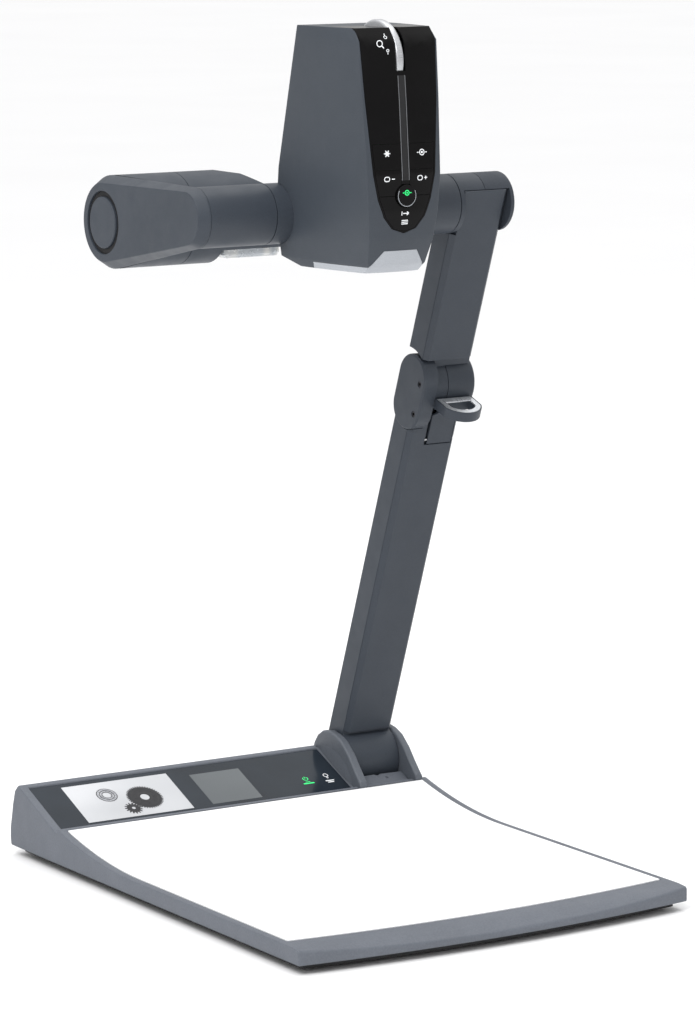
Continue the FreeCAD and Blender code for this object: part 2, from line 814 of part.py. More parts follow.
def finger_hole(z0, z1):
    """D-shaped finger hole between two heights."""
    return handle_plate(handle_bar, drum_front() - handle_bar - 3.0, z0, z1)


def handle_heights():
    """Lower and upper faces of the handle plate."""
    top = lower_arm_length - handle_drop
    return top - handle_height, top


def tongue_bottom():
    """Lower edge of the tongue."""
    return handle_heights()[0] - tongue_length


def handle_axis():
    """Y and z of the handle's hinge pin in the lower arm's frame."""
    return cover_front() + 2.0, tongue_bottom() + 4.0


def release_handle():
    """Dark D-shaped handle with its tongue down the front of the lower arm."""
    z0, z1 = handle_heights()
    plate = handle_plate(0.0, drum_front() - 1.0, z0, z1)
    plate = plate.cut(handle_plate(1.2, drum_front() - 2.2, z1 - inlay_thickness, z1 + 1))
    plate = plate.cut(finger_hole(z0 - 1, z1 + 1))
    face = cover_front() + 0.2
    outline = [(drum_front() - 1.0, z1 - 4.0), (drum_front() - 8.0, z0), (face, z0 - 13.0)]
    outline += [(face, tongue_bottom()), (face + tongue_depth, tongue_bottom()), (face + tongue_depth, z0)]
    web = prism_x(outline, tongue_left, tongue_right)
    clear = elbow_drum_radius + 2 * body_gap
    y_elbow = lower_offset - elbow_offset
    web = web.cut(rod_x(arm_left, arm_right + 9, y_elbow, lower_arm_length, clear))
    relief_radius = elbow_drum_radius + knuckle_relief
    relief = rod_x(arm_left, knuckle_right + 0.6, y_elbow, lower_arm_length, relief_radius)
    web = web.cut(relief.common(box(arm_left, arm_right, -90, 90, z0 - 60, z0)))
    y, z = handle_axis()
    body = plate.fuse(web)
    bore = rod_x(tongue_left - 1, tongue_right + 1, y, z, handle_pin_radius + running_fit)
    return body.cut(bore).removeSplitter()


def handle_inlay():
    """Silver top plate of the handle."""
    z0, z1 = handle_heights()
    plate = handle_plate(1.3, drum_front() - 2.3, z1 - inlay_thickness, z1)
    return plate.cut(finger_hole(z0, z1 + 1))


def handle_pin():
    """Hinge pin at the tongue's lower edge, held by the cover."""
    y, z = handle_axis()
    return rod_x(tongue_left - tongue_side_gap - 2.0, tongue_right + 2.3, y, z, handle_pin_radius)


def handle_slot():
    """Recess for the tongue in the lower arm's front."""
    x0 = tongue_left - tongue_side_gap
    x1 = tongue_right + 0.4
    low = tongue_bottom() - 0.6
    return box(x0, x1, cover_front() - 10, cover_front() + 7.6, low, lower_arm_length)


# ---- upper arm, drawn upright about the elbow axis ----
def upper_arm_shell():
    """Rear shell of the upper arm with its knuckle at the elbow."""
    top = upper_arm_length - 12.0
    bar = shell_bar(0.0, top, elbow_offset)
    hollow = shell_bar(elbow_drum_radius + 22.0, top - 24.0, elbow_offset, arm_wall)
    body = bar.cut(hollow)
    body = body.cut(wedge(fold_stop, 180.0, 120.0, arm_left - 5, arm_right + 5))
    body = body.cut(rod_x(arm_left - 5, housing_right() + seam, 0, 0, sweep_radius))
    body = body.cut(rod_x(knuckle_right, arm_right + 5, 0, 0, elbow_drum_radius + body_gap))
    knuckle = rod_x(housing_right() + seam, knuckle_right, 0, 0, elbow_drum_radius)
    body = body.fuse(knuckle)
    body = body.cut(rod_x(arm_left, arm_right, 0, 0, elbow_shaft_radius + running_fit + 2.0))
    body = body.cut(rod_x(arm_left - 5, arm_right + 9, 0, upper_arm_length, axle_radius + 0.02))
    return body.removeSplitter()


def elbow_bush():
    """Bronze bush pressed into the knuckle."""
    inner = elbow_shaft_radius + running_fit
    return ring_x(housing_right() + seam, knuckle_right, 0, 0, inner + 2.0, inner)


def upper_arm_cover():
    """Front cover of the upper arm, rising into the barrel's notch."""
    cover = cover_bar(cover_start, upper_arm_length + 19.5, elbow_offset)
    cover = cover.cut(rod_x(arm_left - 5, housing_right() + seam, 0, 0, sweep_radius))
    shoulder = upper_arm_length - 22.5
    corner = box(arm_left - 1, arm_left + arm_chamfer + 0.3, -40, 0, shoulder, upper_arm_length + 30)
    return cover.cut(corner)


def barrel_notch():
    """Room for the cover's top in the front of the barrel."""
    back = elbow_offset + arm_thickness / 2 - arm_shell_depth
    low = upper_arm_length - 40.0
    return box(arm_left + arm_chamfer, arm_right + seam, -60, back, low, upper_arm_length + 20.0)


def top_barrel():
    """Smooth left part of the barrel that holds the axle."""
    part = rod_x(arm_left, knuckle_right, 0, upper_arm_length, axle_radius)
    part = part.cut(rod_x(arm_left - 1, knuckle_right + 1, 0, upper_arm_length, axle_shaft_radius))
    return part.cut(barrel_notch())


def barrel_end():
    """Grained right part of the barrel, closed by a round end."""
    end = arm_right + drum_proud
    part = rod_x(knuckle_right + seam, end, 0, upper_arm_length, axle_radius)
    part = soften(part, 2.5, flat_at_x(end))
    part = part.cut(rod_x(knuckle_right, end - 5.0, 0, upper_arm_length, axle_shaft_radius))
    return part.cut(barrel_notch())


def axle_shaft():
    """Fixed shaft from the barrel through the head's tube into the lamp tube."""
    return rod_x(tube_end_x + 4.0, arm_right + drum_proud - 5.1, axle_y, axle_z, axle_shaft_radius)


# ---- camera head ----
HEAD_SECTIONS = [
    # height, rear y, front y, half width at the rear, half width at the front
    (551.5, 3.0, -79.0, 40.0, 27.0),
    (559.0, 28.0, -87.0, 44.5, 29.0),
    (580.0, 30.5, -94.5, 46.0, 32.5),
    (605.0, 32.0, -98.0, 46.5, 35.0),
    (636.0, 29.0, -98.5, 46.5, 37.0),
    (700.0, 13.5, -93.5, 46.0, 38.5),
    (748.0, 2.0, -88.5, 45.5, 39.5),
    (759.0, 0.0, -80.0, 45.0, 37.5),
]


def head_section(z, rear, front, half_rear, half_front, inset):
    """Closed plan outline of the head: flat back, bulged sides, bowed front."""
    yr = rear - inset
    yf = front + inset
    hr = half_rear - inset
    hf = half_front - inset
    bow = 3.0
    bulge = 1.6
    mid_y = (yr + yf) / 2
    mid_x = (hr + hf) / 2 + bulge
    back = Part.LineSegment(V(hr, yr, z), V(-hr, yr, z)).toShape()
    left = Part.Arc(V(-hr, yr, z), V(-mid_x, mid_y, z), V(-hf, yf, z)).toShape()
    face = Part.Arc(V(-hf, yf, z), V(0, yf - bow, z), V(hf, yf, z)).toShape()
    right = Part.Arc(V(hf, yf, z), V(mid_x, mid_y, z), V(hr, yr, z)).toShape()
    return Part.Wire([back, left, face, right])


def head_solid(inset=0.0):
    """Full block of the head, drawn in by the inset."""
    low, high = HEAD_SECTIONS[0][0] + inset, HEAD_SECTIONS[-1][0] - inset
    wires = []
    for i, (z, rear, front, half_rear, half_front) in enumerate(HEAD_SECTIONS):
        height = min(max(z, low), high)
        wires.append(head_section(height, rear, front, half_rear, half_front, inset))
    return Part.makeLoft(wires, True, True)


def panel_outline(inset):
    """U-shaped outline of the front panel in the XZ plane."""
    right = [(38.0, 775.0), (37.8, 748.0), (35.9, 700.0), (31.0, 636.0), (26.5, 615.0)]
    right += [(20.5, 600.0), (12.0, 590.0)]
    side = [(x - inset, z) for x, z in right] + [(0.0, 586.0 + inset)]
    return side + mirrored(side[:-1])[::-1]


def panel_space(inset=0.0):
    """Space in front of and over the head that the panel and its keys fill."""
    return prism_y(panel_outline(inset), -140.0, -42.0)


def panel_skin(outer, inner):
    """Thin skin of the head between its outer face and the inner face."""
    return outer.cut(inner).common(box(-60, 60, -140, -20, 570, 775))


def bezel_space():
    """Low front of the head that the silver bezel fills."""
    right = [(27.5, 552.0), (26.5, 558.0), (16.5, 571.0)]
    raised = prism_y(mirrored(right) + right[::-1], -140.0, -60.0)
    return box(-60, 60, -140, -16, 540, 557.0).fuse(raised)


def wheel_slot():
    """Slot around the zoom wheel, open to the front and the top."""
    half = wheel_half + 0.6
    around = rod_x(-half, half, wheel_y, wheel_z, wheel_radius + 0.8)
    return around.fuse(box(-half, half, -140.0, wheel_y, wheel_z + 3.0, 800.0))


def head_shell(outer, inner):
    """Dark housing of the camera head, open at the front and below."""
    shell = outer.cut(inner)
    shell = shell.cut(panel_space(-0.15))
    shell = shell.cut(bezel_space())
    shell = shell.cut(rod_x(-80, 80, head_axle_y, head_axle_z, axle_radius + 0.02))
    shell = shell.cut(box(-30, 30, lens_y - 30, lens_y + 30, 540, 556))
    shell = shell.cut(wheel_slot())
    return largest(shell)


def largest(shape):
    """The largest solid of a result."""
    return sorted(shape.Solids, key=lambda solid: solid.Volume)[-1]


def head_bezel(outer, inner):
    """Silver band along the bottom front of the head with its raised front piece."""
    skin = outer.cut(head_solid(3.0))
    band = skin.common(bezel_space())
    band = band.cut(box(-60, 60, -14, 60, 500, 800))
    band = band.cut(rod_z(540, 560, 0, lens_y, 27.0))
    return largest(band)


def key_regions():
    """Name and XZ region of each key on the panel."""
    low = af_z
    left = [(-45, low), (-strip_half, low), (-strip_half, key_row_2), (-45, key_row_2)]
    upper = [(-45, key_row_2), (-strip_half, key_row_2), (-strip_half, key_row_1), (-45, key_row_1)]
    menu = [(-45, 580), (45, 580), (45, low), (-45, low)]
    return [("freeze_key", upper), ("preset_key", mirrored(upper)), ("focus_minus_key", left),
            ("focus_plus_key", mirrored(left)), ("menu_key", menu)]


def mirrored(points):
    """Outline on the other side of the head's middle plane."""
    return [(-x, z) for x, z in points]


def shrink_region(points, gap):
    """Region drawn in by a gap on each side."""
    xs = [x for x, _ in points]
    zs = [z for _, z in points]
    x0, x1, z0, z1 = min(xs) + gap, max(xs) - gap, min(zs) + gap, max(zs) - gap
    return box(x0, x1, -140, -60, z0, z1)


def front_keys(skin):
    """The five flat keys, cut from the panel's skin."""
    hole = rod_y(-140, -60, 0, af_z, af_radius + 2 * key_gap)
    field = skin.common(panel_space(1.6 + key_gap)).cut(hole)
    made = []
    for name, points in key_regions():
        made.append((name, largest(field.common(shrink_region(points, key_gap / 2)))))
    return made


def af_button():
    """Round focus button standing a little proud of the panel."""
    button = rod_y(-103.5, -96.5, 0, af_z, af_radius)
    return soften(button, 0.8, lambda e: abs(e.BoundBox.YMin + 103.5) < 0.01 and e.BoundBox.YLength < 0.01)


def front_panel(skin):
    """Glossy black panel with openings for the keys, the button and the wheel."""
    panel = skin.common(panel_space())
    keys = box(-45, 45, -140, -60, 570, key_row_1 + key_gap / 2)
    keys = keys.common(panel_space(1.6))
    strip = strip_half - key_gap / 2
    keys = keys.cut(box(-strip, strip, -140, -60, af_z + af_radius + key_gap, 800))
    panel = panel.cut(keys)
    panel = panel.cut(wheel_slot())
    return largest(panel)


def zoom_wheel():
    """Silver zoom wheel with a knurled rim, on its own pin."""
    wheel = rod_x(-wheel_half, wheel_half, wheel_y, wheel_z, wheel_radius)
    wheel = bevel(wheel, 0.8, lambda e: e.BoundBox.XLength < 0.01)
    return wheel.cut(rod_x(-10, 10, wheel_y, wheel_z, 3.0 + running_fit))


def wheel_pin():
    """Pin of the zoom wheel with its bracket arms."""
    pin = rod_x(-14.0, 14.0, wheel_y, wheel_z, 3.0)
    for x in (-14.0, 11.0):
        pin = pin.fuse(box(x, x + 3.0, wheel_y - 6, wheel_y + 6, 692.0, wheel_z + 6))
    base = box(-14.0, 14.0, wheel_y - 6, wheel_y + 6, 689.0, 692.0)
    return pin.fuse(base).removeSplitter()


def zoom_block():
    """Camera block with its zoom optics behind the lens."""
    block = box(-27, 27, lens_y - 26, lens_y + 26, 640.0, 684.0)
    frame = box(-22, 22, lens_y - 20, lens_y + 20, 684.0, 689.0)
    return block.fuse(frame).removeSplitter()


def lens_barrel():
    """Black lens barrel pointing down at the working surface."""
    tube = rod_z(562.0, 640.0, 0, lens_y, 26.0).cut(rod_z(561.0, 612.0, 0, lens_y, 23.0))
    return tube.cut(rod_z(606.0, 616.0, 0, lens_y, 20.0))


def lens_glass():
    """Front lens element inside the barrel."""
    disc = rod_z(574.0, 583.0, 0, lens_y, 22.9)
    ball = Part.makeSphere(60.0, V(0, lens_y, 574.0 + 58.0))
    return disc.common(ball)


def window_glass():
    """Flat window in the bottom of the head."""
    return rod_z(554.2, 556.2, 0, lens_y, 26.8)


def head_board():
    """Key board standing behind the front panel."""
    return box(-27, 27, -83.6, -82.0, 598.0, 676.0)


def head_frame():
    """Metal frame from the cross tube up to the camera block."""
    plate = box(-25, 25, lens_y + 27.0, lens_y + 30.0, 625.0, 684.0)
    foot = box(-25, 25, lens_y + 27.0, head_axle_y - 10.0, 622.0, 625.0)
    return plate.fuse(foot).removeSplitter()


def head_tube():
    """Cross tube behind the head, turning on the axle."""
    x0 = swing_seam_x + seam
    x1 = arm_left - 0.6
    tube = ring_x(x0, x1, head_axle_y, head_axle_z, axle_radius, axle_radius - 2.5)
    inner = axle_shaft_radius + running_fit + 2.5
    for left in (x0, -4.0, x1 - 10.0):
        tube = tube.fuse(ring_x(left, left + 10.0, head_axle_y, head_axle_z, axle_radius - 2.4, inner))
    return tube.removeSplitter()


def head_bushes():
    """Three bushes pressed into the cross tube's webs."""
    x0 = swing_seam_x + seam
    x1 = arm_left - 0.6
    inner = axle_shaft_radius + running_fit
    places = (x0, -4.0, x1 - 10.0)
    return [ring_x(x, x + 10.0, head_axle_y, head_axle_z, inner + 2.5, inner) for x in places]


# ---- lamp ----
def lamp_tube():
    """Tube of the lamp arm beside the head, with its seam towards the crank."""
    x1 = swing_seam_x - seam
    tube = ring_x(tube_end_x, x1, head_axle_y, head_axle_z, axle_radius, axle_radius - 2.5)
    inner = axle_shaft_radius + running_fit
    for left in (tube_end_x + 6.0, x1 - 10.0):
        tube = tube.fuse(ring_x(left, left + 10.0, head_axle_y, head_axle_z, axle_radius - 2.4, inner))
    return tube.removeSplitter()


def crank_outline(x, radius_0, radius_1):
    """Closed outline around the axle and the lamp axis in the plane at x."""
    dy, dz = lamp_y - head_axle_y, lamp_z - head_axle_z
    span = math.hypot(dy, dz)
    heading = math.atan2(dz, dy)
    lean_in = math.acos((radius_0 - radius_1) / span)

    def on_axle_end(angle):
        return V(x, head_axle_y + radius_0 * math.cos(angle), head_axle_z + radius_0 * math.sin(angle))

    def on_lamp_end(angle):
        return V(x, lamp_y + radius_1 * math.cos(angle), lamp_z + radius_1 * math.sin(angle))

    upper, lower = heading + lean_in, heading - lean_in
    axle_arc = Part.Arc(on_axle_end(upper), on_axle_end(heading + math.pi), on_axle_end(lower)).toShape()
    lamp_arc = Part.Arc(on_lamp_end(lower), on_lamp_end(heading), on_lamp_end(upper)).toShape()
    below = Part.LineSegment(on_axle_end(lower), on_lamp_end(lower)).toShape()
    above = Part.LineSegment(on_lamp_end(upper), on_axle_end(upper)).toShape()
    return Part.Wire([axle_arc, below, lamp_arc, above])


def crank_body():
    """Crank from the lamp tube to the lamp barrel, sloping in to a flat outer face."""
    x1 = tube_end_x - 0.02
    x0 = x1 - crank_slab
    full = Part.Face(crank_outline(x0, axle_radius, lamp_radius)).extrude(V(crank_slab, 0, 0))
    face = crank_outline(lamp_left, crank_end_radius, crank_face_radius)
    slope = Part.makeLoft([crank_outline(x0, axle_radius, lamp_radius), face], True, True)
    return full.fuse(slope)


def lamp_housing():
    """Lamp barrel in one casting with its crank."""
    x_bevel = lamp_left + lamp_bevel
    body = rod_x(x_bevel, lamp_split - seam, lamp_y, lamp_z, lamp_radius)
    end = cone_x(lamp_left, x_bevel, lamp_y, lamp_z, lamp_end_radius, lamp_radius)
    body = body.fuse([end, crank_body()])
    body = body.cut(rod_x(lamp_left - 1, lamp_left + 5.0, lamp_y, lamp_z, cap_radius))
    body = body.cut(rod_x(lamp_left + 14.0, lamp_split - 6.0, lamp_y, lamp_z, lamp_radius - lamp_wall))
    bore = rod_x(lamp_left + 4.0, lamp_split + 1, lamp_y, lamp_z, lamp_shaft_radius)
    return body.cut(bore).removeSplitter()


def lamp_cap_ring():
    """Black ring let into the lamp barrel's outer end."""
    return ring_x(lamp_left + 2.0, lamp_left + 4.9, lamp_y, lamp_z, cap_radius - 0.1, disc_radius + 0.2)


def lamp_cap_disc():
    """Round cap in the middle of the lamp barrel's outer end."""
    disc = rod_x(lamp_left - 0.6, lamp_left + 4.9, lamp_y, lamp_z, disc_radius)
    return bevel(disc, 0.8, flat_at_x(lamp_left - 0.6))


def lamp_spindle():
    """Spindle on which the lamp head turns, fixed in the lamp barrel."""
    rod = rod_x(lamp_left + 5.2, lamp_split + 34.0, lamp_y, lamp_z, lamp_shaft_radius)
    return rod


def lamp_nose(inset):
    """Turning right part of the lamp: a drum that runs out to a low nose."""
    x0 = lamp_split + inset
    body = rod_x(x0, lamp_right - inset, lamp_y, lamp_z, lamp_radius - inset)
    profile = [(lamp_shoulder, lamp_radius), (-5.0, 38.5), (16.5, 27.0), (31.0, 14.0), (42.0, 0.0)]
    profile.append((lamp_right, -17.0))
    above = [(x, lamp_z + z - inset) for x, z in profile]
    above.append((lamp_right + 5, lamp_z - 17.0 - inset))
    above += [(lamp_right + 5, lamp_z + 60), (lamp_shoulder, lamp_z + 60)]
    body = body.cut(prism_y(above, lamp_y - 60, lamp_y + 60))
    flat_z = lamp_z - lamp_flat + inset
    x0, x1 = lamp_flat_left + inset, lamp_right + 10
    body = body.cut(box(x0, x1, lamp_y - 60, lamp_y + 60, lamp_z - 60, flat_z))
    for side in (-1, 1):
        edge = [(23.0, lamp_radius - inset), (39.0, 33.0 - inset), (lamp_right, 18.0 - inset),
                (lamp_right + 5, 10.0 - inset), (lamp_right + 5, 60.0), (23.0, 60.0)]
        corner = [(x, lamp_y + side * y) for x, y in edge]
        body = body.cut(prism_z(corner, lamp_z - 60, lamp_z + 60))
    return body


def window_plug(margin):
    """Upper part of the lamp window, in the opening of the flat underside."""
    z = lamp_z - lamp_flat
    half = window_half - 3.0 + margin
    x0, x1 = window_left + 3.0 - margin, window_right - 3.0 + margin
    return box(x0, x1, lamp_y - half, lamp_y + half, z - 1.0, z + lamp_wall)


def lamp_head():
    """Turning housing of the lamp with its opening below."""
    body = lamp_nose(0.0).cut(lamp_nose(lamp_wall))
    web = rod_x(lamp_split + 18.0, lamp_split + 30.0, lamp_y, lamp_z, lamp_radius - 1.0)
    end = rod_x(lamp_split + 1.0, lamp_split + 5.0, lamp_y, lamp_z, lamp_radius - 1.0)
    body = body.fuse([web, end])
    inner = lamp_shaft_radius + running_fit
    body = body.cut(rod_x(lamp_split - 1, lamp_split + 40.0, lamp_y, lamp_z, inner))
    opening = window_plug(0.1).fuse(window_plug(-2.0).translated(V(0, 0, 2.0)))
    return largest(body.cut(opening))


def lamp_diffuser():
    """Translucent window hanging under the lamp."""
    top = lamp_z - lamp_flat - 0.1
    low = top - window_depth
    bowl = box(window_left, window_right, lamp_y - window_half, lamp_y + window_half, low, top)
    bowl = bevel(bowl, 3.0, lambda edge: edge.BoundBox.ZMax < top - 0.1 or edge.BoundBox.ZLength > 1.0)
    return bowl.fuse(window_plug(0.0).common(box(-90, 90, 0, 400, top, lamp_z))).removeSplitter()


def led_module():
    """Light source on the lamp head's floor, over the window, with its cooling fins."""
    z = lamp_z - lamp_flat + lamp_wall
    half = window_half + led_rim
    plate = box(-20.0, 22.0, lamp_y - half, lamp_y + half, z, z + 3.0)
    lefts = [-18.0 + 5.0 * i for i in range(8)]
    fins = [box(x, x + 2.0, lamp_y - 15.0, lamp_y + 15.0, z + 3.0, z + 13.0) for x in lefts]
    return plate.fuse(fins).removeSplitter()


def write_all():
    """Build every node and write its STEP file."""
    os.makedirs("parts", exist_ok=True)
    base_group()
    lower_group()
    upper_group()
    head_group()
    lamp_group()


def base_group():
    """Nodes of the base."""
    cheek_left, cheek_right = cheeks()
    shell = base_shell()
    write("base_shell", shell)
    write("base_pan", base_pan())
    write("pan_screws", pan_screws())
    write("feet", feet())
    write("working_surface", working_surface())
    write("control_glass", control_glass())
    (left_a, width_a, height_a), (left_b, width_b, height_b) = display_windows()
    write("preview_display", display_module(left_a, width_a, height_a, module_depth))
    write("touch_display", display_module(left_b, width_b, height_b, module_depth))
    write("main_board", main_board())
    write("power_unit", power_unit())
    write("connector_plate", connector_plate())
    write("rear_sockets", sockets())
    write("cheek_left", cheek_left)
    write("cheek_right", cheek_right)
    write("hinge_cradle", hinge_cradle())
    write("hinge_shaft", hinge_shaft())


def lower_group():
    """Nodes of the lower arm and the release handle."""
    write("lower_arm_shell", on_lower(lower_arm_shell()))
    write("lower_arm_cover", on_lower(lower_arm_cover()))
    write("hinge_bushes", hinge_bushes())
    write("elbow_housing", on_lower(elbow_housing()))
    write("elbow_screws", [on_lower(screw) for screw in elbow_screws()])
    write("elbow_drum", on_lower(elbow_drum()))
    write("elbow_shaft", on_lower(elbow_shaft()))
    write("handle_pin", on_lower(handle_pin()))
    write("release_handle", on_lower(release_handle()))
    write("handle_inlay", on_lower(handle_inlay()))


def upper_group():
    """Nodes of the upper arm."""
    write("upper_arm_shell", on_upper(upper_arm_shell()))
    write("upper_arm_cover", on_upper(upper_arm_cover()))
    write("elbow_bush", on_upper(elbow_bush()))
    write("top_barrel", on_upper(top_barrel()))
    write("barrel_end", on_upper(barrel_end()))
    write("axle_shaft", axle_shaft())


def head_group():
    """Nodes of the camera head."""
    outer = head_solid()
    inner = head_solid(head_wall)
    skin = panel_skin(outer, head_solid(panel_thickness))
    write("head_shell", on_axle(head_shell(outer, inner)))
    write("head_bezel", on_axle(head_bezel(outer, inner)))
    write("front_panel", on_axle(front_panel(skin)))
    for name, key in front_keys(skin):
        write(name, on_axle(key))
    write("af_button", on_axle(af_button()))
    write("zoom_wheel", on_axle(zoom_wheel()))
    write("wheel_pin", on_axle(wheel_pin()))
    write("zoom_block", on_axle(zoom_block()))
    write("lens_barrel", on_axle(lens_barrel()))
    write("lens_glass", on_axle(lens_glass()))
    write("window_glass", on_axle(window_glass()))
    write("head_board", on_axle(head_board()))
    write("head_frame", on_axle(head_frame()))
    write("head_tube", on_axle(head_tube()))
    write("head_bushes", [on_axle(bush) for bush in head_bushes()])


def lamp_group():
    """Nodes of the lamp arm and the turning lamp head."""
    write("lamp_tube", on_axle(lamp_tube()))
    write("lamp_housing", on_axle(lamp_housing()))
    write("lamp_cap_ring", on_axle(lamp_cap_ring()))
    write("lamp_cap_disc", on_axle(lamp_cap_disc()))
    write("lamp_spindle", on_axle(lamp_spindle()))
    write("lamp_head", on_axle(lamp_head()))
    write("lamp_diffuser", on_axle(lamp_diffuser()))
    write("led_module", on_axle(led_module()))


write_all()
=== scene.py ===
"""Desktop document camera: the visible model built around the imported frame.

The base carries a white working surface and a sloped control panel. A folding
arm with an oval elbow holds the camera head, and a lamp hangs on a crank beside
the head. Sizes here are millimetres; meshes are written in metres.
"""

import json
import logging
import math
from dataclasses import dataclass, field
from enum import Enum
from typing import Callable, Iterable, Optional, Sequence

import bmesh
import bpy
from mathutils import Matrix, Vector
from mathutils.bvhtree import BVHTree


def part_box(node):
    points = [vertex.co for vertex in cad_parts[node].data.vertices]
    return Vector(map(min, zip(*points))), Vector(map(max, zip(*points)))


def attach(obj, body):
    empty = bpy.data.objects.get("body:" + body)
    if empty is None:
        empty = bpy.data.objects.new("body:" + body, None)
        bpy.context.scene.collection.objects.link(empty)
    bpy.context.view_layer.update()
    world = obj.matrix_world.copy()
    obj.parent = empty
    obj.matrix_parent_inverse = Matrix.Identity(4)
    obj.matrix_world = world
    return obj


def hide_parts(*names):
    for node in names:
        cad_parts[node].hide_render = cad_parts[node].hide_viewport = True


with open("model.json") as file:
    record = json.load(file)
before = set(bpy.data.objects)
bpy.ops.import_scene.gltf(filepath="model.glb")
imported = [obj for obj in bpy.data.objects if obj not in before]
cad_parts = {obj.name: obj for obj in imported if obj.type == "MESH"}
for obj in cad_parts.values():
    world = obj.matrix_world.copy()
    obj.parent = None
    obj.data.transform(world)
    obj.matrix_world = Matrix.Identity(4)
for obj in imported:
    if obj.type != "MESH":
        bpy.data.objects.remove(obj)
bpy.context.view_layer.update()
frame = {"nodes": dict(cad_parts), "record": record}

logging.basicConfig(level=logging.INFO, format="%(message)s")
LOG = logging.getLogger("document_camera")

MM = 0.001
BODY_OF = {node: body for body, nodes in frame["record"]["behaviour"]["bodies"].items() for node in nodes}
SLOT_OF = {part["node"]: part["material_slot"] for part in frame["record"]["subparts"]}


def mm(x: float, y: float, z: float) -> Vector:
    """Point given in millimetres, in metres."""
    return Vector((x, y, z)) * MM


# ---------------------------------------------------------------- finishes


